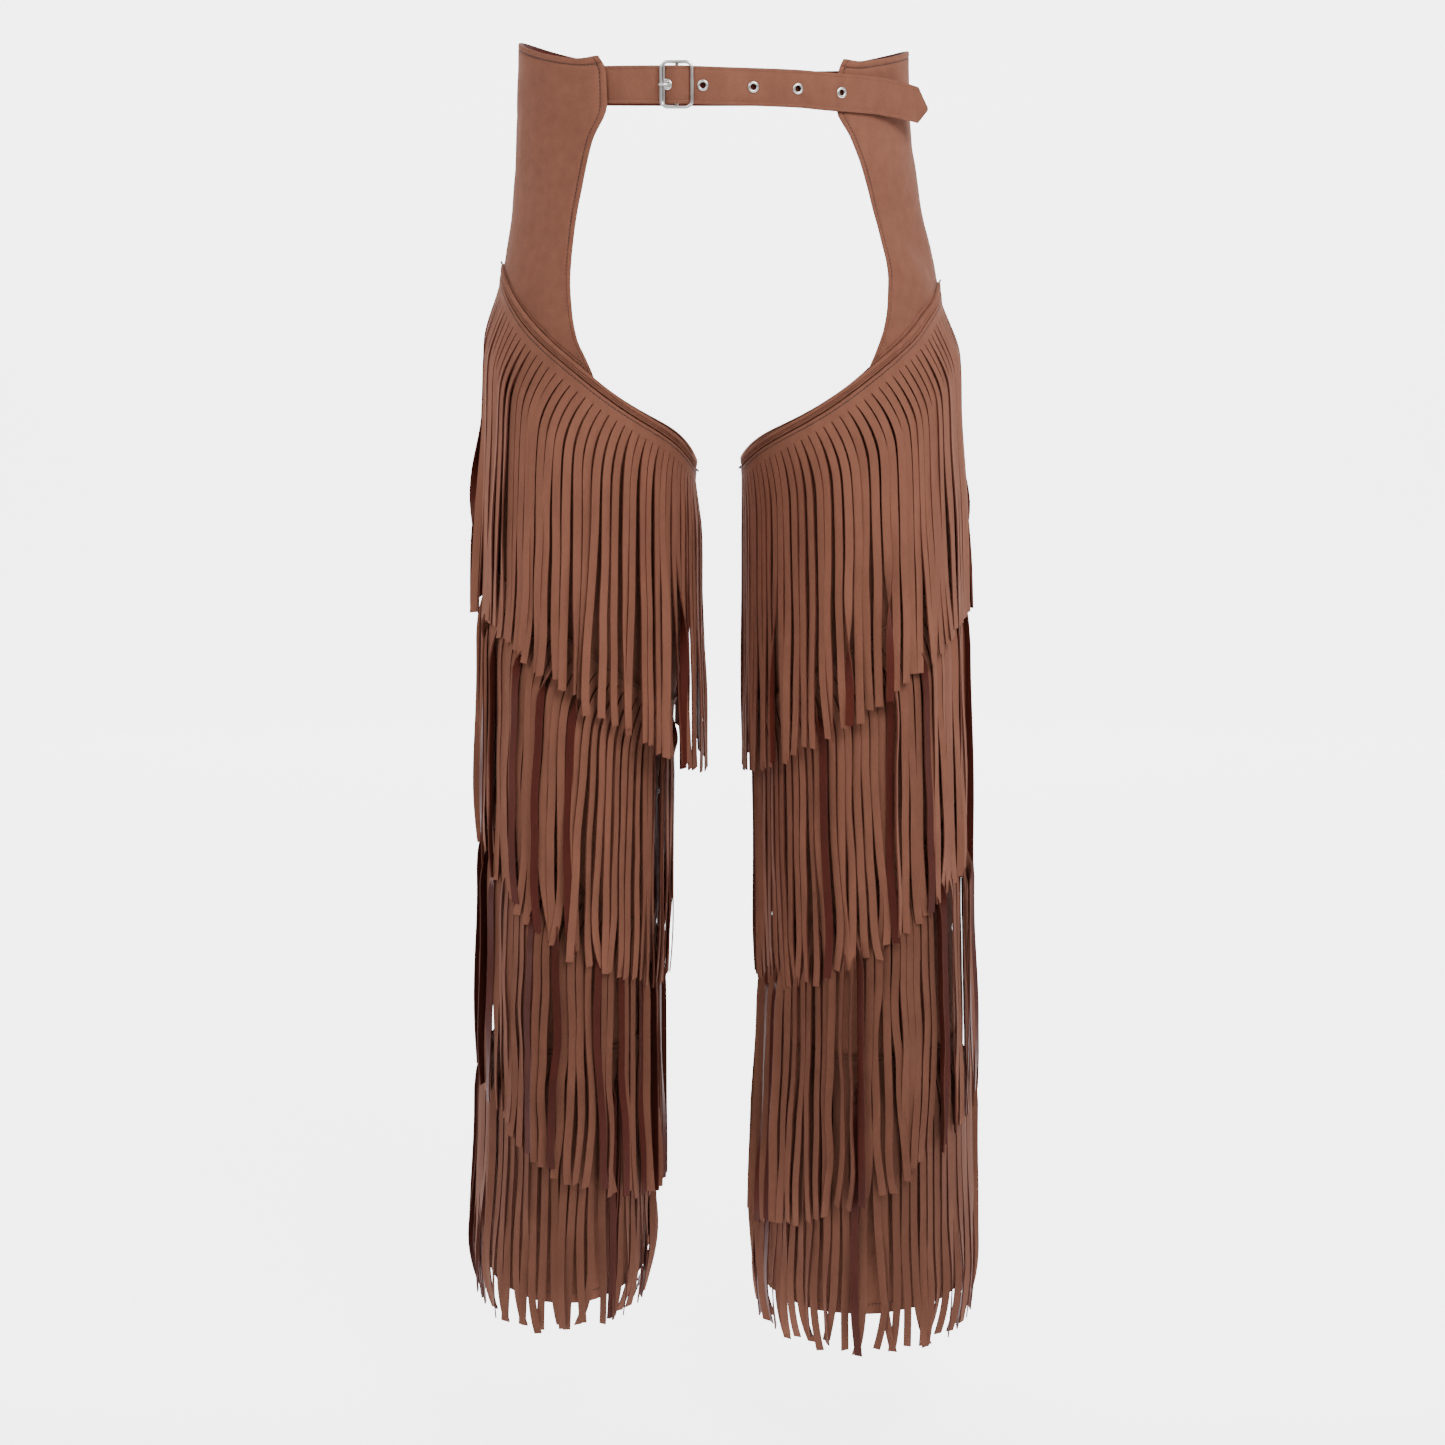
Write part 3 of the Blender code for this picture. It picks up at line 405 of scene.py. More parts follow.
class ChapsColours(PropertyGroup):
    """Colours of the finishes."""

    face: tint("Suede", "Napped face of the suede", (0.188, 0.075, 0.047))
    reverse: tint("Reverse", "Smooth dark side of the suede", (0.060, 0.0112, 0.0066))
    thread: tint("Thread", "Sewing thread", (0.034, 0.011, 0.007))
    metal: tint("Metal", "Polished metal of buckle and eyelets", (0.83, 0.82, 0.80))
    floor: tint("Floor", "Pale floor", (0.78, 0.78, 0.80))


def clamp(value, low=0.0, high=1.0):
    return min(max(value, low), high)


def ease(share):
    """A share from 0 to 1 that starts and ends slowly."""
    return share * share * (3 - 2 * share)


def evenly(start, end, count):
    """Values from start to end, both included, in count equal steps."""
    return [start + (end - start) * i / count for i in range(count + 1)]


def steps(start, end, step):
    """Evenly spaced values from start to end, both included, about a step apart."""
    return evenly(start, end, max(1, round(abs(end - start) / step)))


def axes_at(point, x, y, z):
    """Matrix of a place with its three axes."""
    return Matrix.Translation(point) @ Matrix((x, y, z)).transposed().to_4x4()


def smooth(rows, place, column):
    """Read one column of a table between its rows, without overshooting them."""
    places = [row[0] for row in rows]
    values = [getattr(row, column) for row in rows]
    if places[0] > places[-1]:
        places.reverse()
        values.reverse()
    place = clamp(place, places[0], places[-1])
    index = max(i for i in range(len(places) - 1) if places[i] <= place)
    slopes = [
        (values[i + 1] - values[i]) / (places[i + 1] - places[i]) for i in range(len(places) - 1)
    ]

    def tangent(i):
        if i == 0 or i == len(slopes):
            return slopes[0] if i == 0 else slopes[-1]
        before, after = slopes[i - 1], slopes[i]
        return 0.0 if before * after <= 0 else 2 * before * after / (before + after)

    span = places[index + 1] - places[index]
    t = (place - places[index]) / span
    start = values[index] * (2 * t**3 - 3 * t**2 + 1) + tangent(index) * span * (t**3 - 2 * t**2 + t)
    end = values[index + 1] * (3 * t**2 - 2 * t**3) + tangent(index + 1) * span * (t**3 - t**2)
    return start + end


def section(side, height):
    """The worn form's ring at a height."""
    return Section(height, *(smooth(side.sections, height, column) for column in Section._fields[1:]))


def fold_depth(side, angle, height):
    """How far the folds move the cloth outwards here."""
    moved = 0.0
    for fold in side.folds:
        around = (angle - math.radians(fold.angle) + math.pi) % math.tau - math.pi
        across, up = around * 0.1, height - fold.height
        slant = math.radians(fold.slant)
        along = across * math.cos(slant) + up * math.sin(slant)
        aside = up * math.cos(slant) - across * math.sin(slant)
        moved += fold.depth * math.exp(-((along / fold.length) ** 2) - (aside / fold.width) ** 2)
    return moved


def on_ring(side, ring, angle, height, out):
    """Point of an upright ring, moved out along its normal."""
    across, ahead = math.sin(angle), -math.cos(angle)
    normal = Vector((across / ring.half_width, ahead / ring.half_depth)).normalized()
    x = ring.centre_x + ring.half_width * across + normal.x * out
    y = ring.centre_y + ring.half_depth * ahead + normal.y * out
    return Vector((side.sign * x, y, height))


def surface(side, angle, height, out=0.0):
    """Point of the worn form, moved out, with its folds."""
    out += fold_depth(side, angle, height)
    return on_ring(side, section(side, height), angle, height, out)


def rippled(side, ripple, angle, height):
    """How far the small unevenness of the cloth moves it outwards here."""
    place = Vector((angle * ripple.around, height * ripple.up, ripple.seed * side.sign))
    return ripple.height * noise.noise(place)


def waist(degrees, out):
    """Point of the waist ring at the origin's height. Angles run from the front to the right."""
    degrees = (degrees + 180.0) % 360.0 - 180.0
    side = RIGHT if degrees >= 0 else LEFT
    return on_ring(side, section(side, 0.0), math.radians(abs(degrees)), 0.0, out)


def seam_height(side, angle):
    """Height of the seam between yoke and leg."""
    s = math.sin(angle)
    dip = SEAT_DIP * max(0.0, -math.cos(angle)) ** 1.5
    middle, slant, lift, sag = side.seam
    return middle + slant * s + lift * s**7 - sag * (1 - s * s) - dip


def front_angle(side, height):
    """Angle of the yoke's front edge at a height."""
    ring = section(side, height)
    return math.asin((smooth(side.edge, height, "across") - ring.centre_x) / ring.half_width)


def back_angle(side, height):
    """Angle of the yoke's back edge, a little further from the midline than the front edge."""
    ring = section(side, height)
    across = YOKE_BACK_EDGE * smooth(side.edge, height, "across")
    return math.pi - math.asin((across - ring.centre_x) / ring.half_width)


def yoke_corner(side, edge_angle):
    """Height at which a yoke edge meets the seam."""
    height = side.seam.middle
    for _ in range(20):
        height = seam_height(side, edge_angle(side, height)) + SEAM_GAP
    return height


def yoke_top(side, angle):
    """Height of the yoke's top edge, which rises towards the side and falls again behind it."""
    from_peak = abs(math.degrees(angle) - YOKE_PEAK)
    rise = max(0.0, 1.0 - from_peak / (YOKE_PEAK - YOKE_RISE_STARTS))
    return side.top + side.top_rise * ease(rise)


def header_height(side, number, angle):
    """Height of a fringe band's top edge."""
    tier = side.tiers[number - 1]
    if tier.header is None:
        return seam_height(side, angle) - TOP_BAND
    return tier.header + tier.slant * math.sin(angle)


class Socket:
    """A value in a material that works in Python expressions."""

    def __init__(self, tree, output):
        self.tree, self.output = tree, output

    def maths(self, operation, first, second=0.0):
        return node(self.tree, "ShaderNodeMath", {"operation": operation}, {0: first, 1: second})

    def __add__(self, other):
        return self.maths("ADD", self, other)

    def __radd__(self, other):
        return self.maths("ADD", other, self)

    def __sub__(self, other):
        return self.maths("SUBTRACT", self, other)

    def __rsub__(self, other):
        return self.maths("SUBTRACT", other, self)

    def __mul__(self, other):
        return self.maths("MULTIPLY", self, other)

    def __rmul__(self, other):
        return self.maths("MULTIPLY", other, self)

    def __pow__(self, other):
        return self.maths("POWER", self, other)


def node(tree, kind, settings=None, inputs=None, output=0):
    """Add any node: its settings first, then the values or links of its sockets."""
    made = tree.nodes.new(kind)
    for name, value in (settings or {}).items():
        setattr(made, name, value)
    for key, value in (inputs or {}).items():
        if isinstance(value, Socket):
            tree.links.new(value.output, made.inputs[key])
        else:
            made.inputs[key].default_value = value
    return Socket(tree, made.outputs[output])


def mix(tree, share, first, second):
    """Blend two colours."""
    settings = {"data_type": "RGBA", "blend_type": "MIX"}
    return node(tree, "ShaderNodeMix", settings, {0: share, 6: first, 7: second}, 2)


def colour(values, brightness=1.0):
    return (values[0] * brightness, values[1] * brightness, values[2] * brightness, 1.0)


def tones(tree, share, values, limits):
    """Blend a colour from one brightness to another."""
    return mix(tree, share, colour(values, limits[0]), colour(values, limits[1]))


def speckle(tree, place, scale, detail):
    """Cloudy noise at a place."""
    return node(tree, "ShaderNodeTexNoise", inputs={0: place, "Scale": scale, "Detail": detail})


def bump(tree, height, strength, distance):
    sockets = {"Strength": strength, "Distance": distance, "Height": height}
    return node(tree, "ShaderNodeBump", inputs=sockets)


def ramp(tree, value, start, end, first=0.0, last=1.0, interpolation="SMOOTHSTEP"):
    """Map a value between start and end to the span between first and last."""
    settings = {"interpolation_type": interpolation}
    sockets = {0: value, 1: start, 2: end, 3: first, 4: last}
    return node(tree, "ShaderNodeMapRange", settings, sockets)


def new_material(name, **sockets):
    """A material whose shader has these constant values, and the place that its noises read."""
    made = bpy.data.materials.new(name)
    made.use_nodes = True
    tree = made.node_tree
    shader = tree.nodes["Principled BSDF"]
    for key, value in sockets.items():
        shader.inputs[key.replace("_", " ")].default_value = value
    return made, tree, shader, node(tree, "ShaderNodeTexCoord", output=3)


def drive(tree, shader, **sockets):
    """Link values to the shader's sockets."""
    for key, value in sockets.items():
        tree.links.new(value.output, shader.inputs[key.replace("_", " ")])


def suede(name, colours, brightness=1.0, streak=1.0):
    """Brushed suede: napped face, smoother dark reverse, mottling at three scales, soft sheen,
    and painted shade that darkens the lower fringe tiers.
    """
    found = bpy.data.materials.get(name)
    if found:
        return found
    made, tree, shader, place = new_material(
        name, Sheen_Weight=0.04, Sheen_Roughness=0.4, Sheen_Tint=(1.0, 0.7, 0.58, 1.0),
        Specular_IOR_Level=0.12,
    )
    stretched = node(tree, "ShaderNodeMapping", inputs={0: place, 3: (1.0, 1.0, streak)})
    cloud = speckle(tree, place, CLOUD.scale, 3.0)
    patch = speckle(tree, stretched, PATCH.scale, 3.0)
    nap = speckle(tree, stretched, NAP.scale, 2.0)
    grain = node(tree, "ShaderNodeTexVoronoi", inputs={0: place, "Scale": GRAIN.scale})
    tone = node(tree, "ShaderNodeAttribute", {"attribute_name": TONE})
    shade = node(tree, "ShaderNodeSeparateColor", inputs={0: tone})
    back, dull = (Socket(tree, shade.output.node.outputs[number]) for number in (1, 2))
    light = CLOUD.light * cloud + PATCH.light * patch + NAP.light * nap
    # A strand's own shade is random tone; the tier's painted shade takes brightness off here
    light = light + SHADE_LIGHT * (shade - dull) + GRAIN.light * grain
    light = ramp(tree, light, *LIGHT_RANGE, interpolation="LINEAR")
    napped = tones(tree, light, colour(colours.face, brightness), NAPPED_TONES)
    # Painted shade: the lower fringe tiers are mixed towards a dark face tone
    napped = mix(tree, PAINTED_SHADE_SHARE * dull, napped, colour(colours.face, PAINTED_SHADE_TONE * brightness))
    smooth_side = tones(tree, light, colours.reverse, REVERSE_TONES)
    relief = nap * NAP.relief + grain * GRAIN.relief + patch * PATCH.relief
    drive(
        tree, shader, Base_Color=mix(tree, back, napped, smooth_side),
        Roughness=0.95 - 0.33 * back + 0.08 * (nap - 0.5), Normal=bump(tree, relief, 0.35, 0.0005),
    )
    return made


def thread_finish(colours):
    """Twisted sewing thread."""
    found = bpy.data.materials.get("thread")
    if found:
        return found
    made, tree, shader, place = new_material("thread", Roughness=0.7, Sheen_Weight=0.2)
    twist = speckle(tree, place, 1800.0, 2.0)
    drive(tree, shader, Base_Color=tones(tree, twist, colours.thread, THREAD_TONES))
    return made


def polished_metal(colours):
    """Polished plated metal with faint wear marks."""
    found = bpy.data.materials.get("polished_metal")
    if found:
        return found
    made, tree, shader, place = new_material("polished_metal", Metallic=1.0)
    smear, scratch = speckle(tree, place, 300.0, 4.0), speckle(tree, place, 2600.0, 2.0)
    drive(
        tree, shader, Base_Color=tones(tree, smear, colours.metal, METAL_TONES),
        Roughness=0.26 + 0.14 * smear, Normal=bump(tree, scratch, 0.08, 0.0001),
    )
    return made


def only_verts(geometry):
    return [item for item in geometry if isinstance(item, bmesh.types.BMVert)]


def thicken(bm):
    """Give a flat pattern its second face, one unit away along Z."""
    grown = bmesh.ops.extrude_face_region(bm, geom=bm.faces[:])["geom"]
    bmesh.ops.translate(bm, verts=only_verts(grown), vec=(0, 0, 1))


def paint(bm, tone_of):
    """Write each face's tone: its shade, whether it is the reverse side, and how much painted shade it
    gets.
    """
    layer = bm.loops.layers.float_color.new(TONE)
    for face in bm.faces:
        tone = tone_of(face)
        for loop in face.loops:
            loop[layer] = tone


def pattern_tone(face):
    """Tone of a flat pattern's face: its lower side is the reverse."""
    return (0.5, float(all(vert.co.z < 0.5 for vert in face.verts)), 0.0, 1.0)


def as_mesh(name, bm):
    """Turn a bmesh into a mesh."""
    mesh = bpy.data.meshes.new(name)
    bm.to_mesh(mesh)
    bm.free()
    return mesh


def merge(bm, others):
    """Add other bmeshes to one."""
    for other in others:
        mesh = as_mesh("merged", other)
        bm.from_mesh(mesh)
        bpy.data.meshes.remove(mesh)
    return bm


def put(name, data):
    """A new object at the origin, in the scene."""
    made = bpy.data.objects.new(name, data)
    bpy.context.scene.collection.objects.link(made)
    return made


def finish_piece(name, bm, finish, nodes=()):
    """Turn a bmesh into a piece that rides on the garment in place of its solids."""
    bmesh.ops.recalc_face_normals(bm, faces=bm.faces[:])
    if bm.calc_volume(signed=True) < 0:
        bmesh.ops.reverse_faces(bm, faces=bm.faces[:])
    mesh = as_mesh(name, bm)
    mesh.shade_smooth()
    mesh.set_sharp_from_angle(angle=SHARP)
    mesh.materials.append(finish)
    made = put(name, mesh)
    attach(made, "root")
    if nodes:
        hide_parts(*nodes)
    return made


def panel(name, columns, rows, place, finish, nodes=()):
    """A piece cut flat: place(column, row, w) lays its pattern on the body, w from inside out."""
    bm = bmesh.new()
    bmesh.ops.create_grid(bm, x_segments=columns, y_segments=rows, size=0.5)
    thicken(bm)
    paint(bm, pattern_tone)
    for vert in bm.verts:
        column, row = round((vert.co.x + 0.5) * columns), round((0.5 - vert.co.y) * rows)
        vert.co = place(column, row, vert.co.z)
    return finish_piece(name, bm, finish, nodes)


def ring_pattern(columns, bands):
    """A closed band of some unit rows round a unit circle, with a second wall one unit further out."""
    bm = bmesh.new()
    bmesh.ops.create_circle(bm, segments=columns, radius=1.0)
    edges = bm.edges[:]
    for _ in range(bands):
        grown = bmesh.ops.extrude_edge_only(bm, edges=edges)["geom"]
        bmesh.ops.translate(bm, verts=only_verts(grown), vec=(0, 0, -1))
        edges = [item for item in grown if isinstance(item, bmesh.types.BMEdge)]
    outer = bmesh.ops.extrude_face_region(bm, geom=bm.faces[:])["geom"]
    for vert in only_verts(outer):
        vert.co.x *= 2
        vert.co.y *= 2
    return bm


def ring_column(point, columns):
    """Which column of a ring pattern a point lies on, and whether it is on the outer wall."""
    turn = math.atan2(-point.x, point.y) % math.tau
    return round(turn / math.tau * columns) % columns, round(math.hypot(point.x, point.y)) - 1


def ribbed_places(ribs, length, step):
    """Insets along a piece: its edge ribs, then even steps, then the same ribs at the other end."""
    start = [(rib.inset, rib.out) for rib in ribs]
    first = start[-1][0]
    last = length - first
    count = max(1, round((last - first) / step))
    middle = [(inset, 0.0) for inset in evenly(first, last, count)[1:-1]]
    return start + middle + [(length - inset, out) for inset, out in reversed(start)]


def stitch_line(bm, points, outs, sizes, uneven):
    """Stitches of a seam that follows points; outs are the directions away from the cloth."""
    travelled, wanted = 0.0, sizes.stitch_pitch / 2
    for start, end, out in zip(points, points[1:], outs):
        along = end - start
        span = along.length
        while wanted < travelled + span:
            middle = start.lerp(end, (wanted - travelled) / span)
            ahead = along.normalized()
            side = out.cross(ahead).normalized()
            ahead = (ahead + side * uneven.uniform(-STITCH_SKEW, STITCH_SKEW)).normalized()
            side = out.cross(ahead).normalized()
            matrix = axes_at(middle, ahead, side, out)
            matrix = matrix @ Matrix.Diagonal((sizes.stitch_length / 2, sizes.thread, sizes.thread, 1))
            bmesh.ops.create_icosphere(bm, subdivisions=1, radius=1.0, matrix=matrix)
            wanted += sizes.stitch_pitch
        travelled += span


def surface_line(side, places, out):
    """Points at (angle, height) places of the worn form, with the directions away from it."""
    points = [surface(side, angle, height, out) for angle, height in places]
    beyond = [surface(side, angle, height, out + 0.001) for angle, height in places]
    return points, [(far - point).normalized() for point, far in zip(points, beyond)]


def stitches(name, side, lines, out, seed, sizes, colours):
    """The stitches of a piece, along lines of (angle, height) places."""
    bm = bmesh.new()
    uneven = random.Random(seed)
    for places in lines:
        stitch_line(bm, *surface_line(side, places, out), sizes, uneven)
    return finish_piece(name, bm, thread_finish(colours))


class CHAPS_OT_yokes(Operator):
    """Cut the two hip pieces, with their edge ribs and folds"""

    bl_idname = "chaps.yokes"
    bl_label = "Yokes"

    def execute(self, context):
        for side in SIDES:
            self.yoke(side, context.scene.chaps_sizes, context.scene.chaps_colours)
        return {"FINISHED"}

    def yoke(self, side, sizes, colours):
        front_corner, back_corner = yoke_corner(side, front_angle), yoke_corner(side, back_angle)

        def edge_angles(v):
            front = front_angle(side, side.top + (front_corner - side.top) * v)
            return front, back_angle(side, side.top + (back_corner - side.top) * v)

        height = side.top - (front_corner + back_corner) / 2
        across = ribbed_places(YOKE_EDGE_RIBS, YOKE_WIDTH, YOKE_COLUMN)
        down = ribbed_places(YOKE_EDGE_RIBS, height, YOKE_ROW)
        top_front, top_back = edge_angles(0.0)
        seam_front, seam_back = edge_angles(1.0)
        edges = [edge_angles(inset / height) for inset, _ in down]
        tops, bottoms = [], []
        for inset, _ in across:
            u = inset / YOKE_WIDTH
            flare = FLARE_HEIGHT * math.exp(-((inset / FLARE_WIDTH) ** 2) * FLARE_FALL)
            tops.append(yoke_top(side, top_front + (top_back - top_front) * u) + flare)
            bottoms.append(seam_height(side, seam_front + (seam_back - seam_front) * u) + SEAM_GAP)

        def place(column, row, w):
            (inset, rib), (fall, groove) = across[column], down[row]
            front, back = edges[row]
            angle = front + (back - front) * inset / YOKE_WIDTH
            z = tops[column] + (bottoms[column] - tops[column]) * fall / height
            ripple = rippled(side, YOKE_RIPPLE, angle, z)
            return surface(side, angle, z, (sizes.cloth + rib + groove) * w + ripple)

        name = f"yoke_cloth_{side.name}"
        finish, nodes = suede("yoke_napped", colours), [f"yoke_{side.name}"]
        cloth = panel(name, len(across) - 1, len(down) - 1, place, finish, nodes)
        lines = self.stitch_lines(height, edge_angles, tops, bottoms, across)
        thread = stitches(
            f"yoke_stitches_{side.name}", side, lines, sizes.cloth - YOKE_STITCH_SINK,
            side.sign + 5, sizes, colours,
        )

    def stitch_lines(self, height, edge_angles, tops, bottoms, across):
        """Places along the front, back, top and lower edges."""
        down, aside = YOKE_EDGE_RIBS[4].inset / height, YOKE_EDGE_RIBS[4].inset / YOKE_WIDTH

        def at(v, share, top, bottom):
            front, back = edge_angles(v)
            return front + (back - front) * share, top + (bottom - top) * v

        lines = [
            [at(v, share, tops[end], bottoms[end]) for v in evenly(down, 1 - down, LINE_STEPS)]
            for share, end in ((aside, 0), (1 - aside, -1))
        ]
        for v in (down, 1 - YOKE_LOW_INSET / height):
            shares = [clamp(inset / YOKE_WIDTH, aside, 1 - aside) for inset, _ in across]
            lines.append([at(v, *row) for row in zip(shares, tops, bottoms)])
        return lines


class CHAPS_OT_legs(Operator):
    """Cut the leg panels, hung from the yokes and the belt"""

    bl_idname = "chaps.legs"
    bl_label = "Legs"

    def execute(self, context):
        sizes, colours = context.scene.chaps_sizes, context.scene.chaps_colours
        for side in SIDES:
            self.leg(side, "leg_front", INSEAM, OUTSEAM, sizes, colours)
            self.leg(side, "leg_back", OUTSEAM, INSEAM + math.tau, sizes, colours)
        return {"FINISHED"}

    def leg(self, side, name, start, end, sizes, colours):
        columns = round((end - start) / LEG_COLUMN_TURN)
        gap = SEAM_GAP / 2 / side.sections[-1].half_depth

        def place(column, row, w):
            angle = start + (end - start) * column / columns
            angle += gap * ((column == 0) - (column == columns))
            top = seam_height(side, angle)
            v = (row / LEG_ROWS) ** LEG_ROW_SPREAD
            z = top + (side.hem - top) * v
            ripple = rippled(side, LEG_RIPPLE, angle, z) * math.sin(math.pi * min(v * 1.02, 1.0))
            return surface(side, angle, z, sizes.cloth * w + ripple)

        # The leg cloth is the suede at 0.9 brightness: painted shade for the cloth that hangs in the
        # shadow of the fringe
        finish, nodes = suede("leg_napped_painted_shade", colours, brightness=0.9), [f"{name}_{side.name}"]
        piece = f"{name}_cloth_{side.name}"
        cloth = panel(piece, columns, LEG_ROWS, place, finish, nodes)
        hem = [(angle, side.hem + HEM_INSET) for angle in evenly(start, end, LINE_STEPS)]
        thread = stitches(
            f"{name}_hem_stitches_{side.name}", side, [hem], sizes.cloth,
            side.sign + 9, sizes, colours,
        )


class CHAPS_OT_top_bands(Operator):
    """Sew the narrow ribbed band over each leg's top edge"""

    bl_idname = "chaps.top_bands"
    bl_label = "Top bands"

    def execute(self, context):
        colours = context.scene.chaps_colours
        finish = suede("yoke_napped", colours)
        for side in SIDES:
            bm = ring_pattern(BAND_COLUMNS, len(TOP_BAND_RIBS) - 1)
            paint(bm, lambda face: (0.5, 0.0, 0.0, 1.0))
            for vert in bm.verts:
                column, outer = ring_column(vert.co, BAND_COLUMNS)
                rib = TOP_BAND_RIBS[round(-vert.co.z)]
                angle = math.tau * column / BAND_COLUMNS
                z = seam_height(side, angle) + BAND_RISE - rib.inset
                wall = (BAND_THICKNESS + BAND_DEPTH + rib.out) * outer
                vert.co = surface(side, angle, z, FRINGE_OUT - BAND_DEPTH + wall)
            name = f"leg_band_cloth_{side.name}"
            band = finish_piece(name, bm, finish, [f"leg_band_{side.name}"])
            ends = self.seam_ends(side, colours)
        return {"FINISHED"}

    def seam_ends(self, side, colours):
        """Short frayed ends where the seam closes, low at the inseam and on top at the outer side."""
        bm = bmesh.new()
        uneven = random.Random(side.sign + 30)
        for place in SEAM_ENDS:
            z = seam_height(side, place.angle) - place.below
            for turn in SEAM_END_TURNS:
                height = z + uneven.uniform(-SEAM_END_SCATTER, SEAM_END_SCATTER)
                points, outs = surface_line(
                    side, [(place.angle + turn, height)], FRINGE_OUT + SEAM_END_OUT,
                )
                ahead = outs[0] + Vector((0, 0, place.rise * uneven.uniform(0.8, 1.2)))
                ahead.normalize()
                across = ahead.cross(Vector((0, 1, 0))).normalized()
                matrix = axes_at(points[0] + ahead * SEAM_END_OUT, ahead, across, ahead.cross(across))
                length = uneven.uniform(*SEAM_END_LENGTHS)
                matrix = matrix @ Matrix.Diagonal((length, *SEAM_END_SECTION, 1.0))
                bmesh.ops.create_icosphere(bm, subdivisions=2, radius=1.0, matrix=matrix)
        return finish_piece(f"seam_ends_{side.name}", bm, thread_finish(colours))


def grown(reach, rate):
    """How far a change has come that is complete at one over its rate of the way down."""
    return min(1.0, reach * rate)


class Strand:
    """One strand: where it hangs from, where its tip is, and how it turns on the way."""

    def __init__(self, side, number, angles, uneven, sizes):
        self.side, self.thickness = side, sizes.strand_thickness
        tier = side.tiers[number - 1]
        self.start, self.end = angles
        angle = (self.start + self.end) / 2
        out = FRINGE_OUT + self.thickness / 2
        self.root, first, last = (
            surface(side, place, header_height(side, number, place) - FRINGE_BAND, out)
            for place in (angle, self.start, self.end)
        )
        self.width = min((last - first).length * STRAND_FILL, sizes.strand_pitch)
        level = Vector((last.x - first.x, last.y - first.y, 0))
        self.slope = math.atan2(last.z - first.z, level.length)
        self.level = level.normalized()
        middle, half_width = (tier.outer + tier.inner) / 2, (tier.outer - tier.inner) / 2
        ring = Section(0.0, middle, half_width, TIP_CENTRE_Y, tier.depth)
        s = math.sin(angle)
        self.habit = habit = HABITS[number - 1]
        fall = uneven.gauss(0.0, TIP_SCATTER)
        height = tier.tip + tier.tip_slant * s + tier.tip_bend * s * s + fall
        self.tip = on_ring(side, ring, angle + uneven.gauss(0.0, TIP_ANGLE_SCATTER), height, 0.0)
        own = DRIFT_TIER * number + DRIFT_SIDE * side.sign
        self.drift_place = Vector((angle * DRIFT_AROUND, 0.0, own))
        # The fourth draw is unused, but it keeps the order of the draws
        self.phase = [uneven.uniform(0, math.tau) for _ in range(4)]
        self.sway = uneven.gauss(0.0, habit.sway)
        self.lift = uneven.uniform(*LIFT)
        self.cut = uneven.uniform(-CUT_SKEW, CUT_SKEW)
        twist = FIRST_TWIST if number == 1 else LOWER_TWIST
        self.turn_start = uneven.uniform(*twist.start)
        self.turn_length = uneven.uniform(*twist.length)
        self.wobble = math.radians(uneven.gauss(0.0, habit.wobble) * (1 + SIDE_WOBBLE * s * s))
        # Strands overlap like tiles, the other way round at the sides
        aside = abs(s) ** 3
        overlap = clamp(-OVERLAP_GAIN * math.sin(2 * angle), -1.0, 1.0) * (1 - OVERLAP_FLIP * aside)
        self.shingle = math.radians(habit.shingle) * overlap
        tip_turn = math.radians(habit.tip_turn * uneven.uniform(*TIP_TURN_RANGE))
        self.tip_turn = -math.copysign(tip_turn, self.shingle + self.wobble)
        self.curl = uneven.gauss(0.0, habit.curl)
        self.tuck = habit.tuck * uneven.uniform(*TUCK_RANGE)
        self.side_on, far_out = abs(s) ** 5, abs(s) ** 12
        self.steady = 1 - SIDE_STEADY * aside
        self.clear = CLEARANCE * (1 - self.side_on)
        chance = uneven.random()
        self.turn = self.stray = 0.0
        if chance < habit.turned + OUTER_TURNED * far_out:
            self.turn = math.pi * uneven.choice((-1, 1)) * uneven.uniform(*TURNED_BY)
        elif chance < habit.turned + habit.tilted + OUTER_TILTED * far_out:
            self.turn = math.radians(uneven.choice((-1, 1)) * uneven.uniform(*TILTED_BY))
        if uneven.random() < STRAY_CHANCE:
            self.stray = uneven.choice((-1, 1)) * uneven.uniform(*STRAY_BY)
        self.shade = clamp(uneven.gauss(SHADE, SHADE_SPREAD), *SHADE_LIMITS)

    def frame(self, reach):
        """Middle of the strand, direction of its width and of its face, at a share of the way down."""
        drop = (self.root.z - self.tip.z) * reach
        middle = self.root.lerp(self.tip, smooth(HANG, reach, "spread"))
        middle.z = self.root.z - drop
        up = Vector((0, 0, 1))
        out = self.level.cross(up).normalized()
        if out.dot(self.root - Vector((self.side.sign * 0.1, 0, self.root.z))) < 0:
            out = -out
        loose = ease(reach)
        end = max(0.0, (reach - CURL_STARTS) / (1 - CURL_STARTS)) ** 2
        # Sideways
        shift = math.tan(self.slope) * BEND_DEPTH * BEND_SHIFT * (1 - math.exp(-drop / BEND_DEPTH))
        place = self.drift_place + Vector((0.0, DRIFT_DOWN * reach, 0.0))
        drift = noise.noise(place) + FINE_DRIFT * noise.noise(place * FINE_SCALE)
        sway = self.habit.drift * drift * grown(reach, DRIFT_RATE) ** 1.5
        sway += self.sway * loose * math.sin(SWAY_WAVE * reach + self.phase[0])
        sway += self.stray * loose * reach
        middle += self.level * (shift + (sway + self.curl * end) * self.steady)
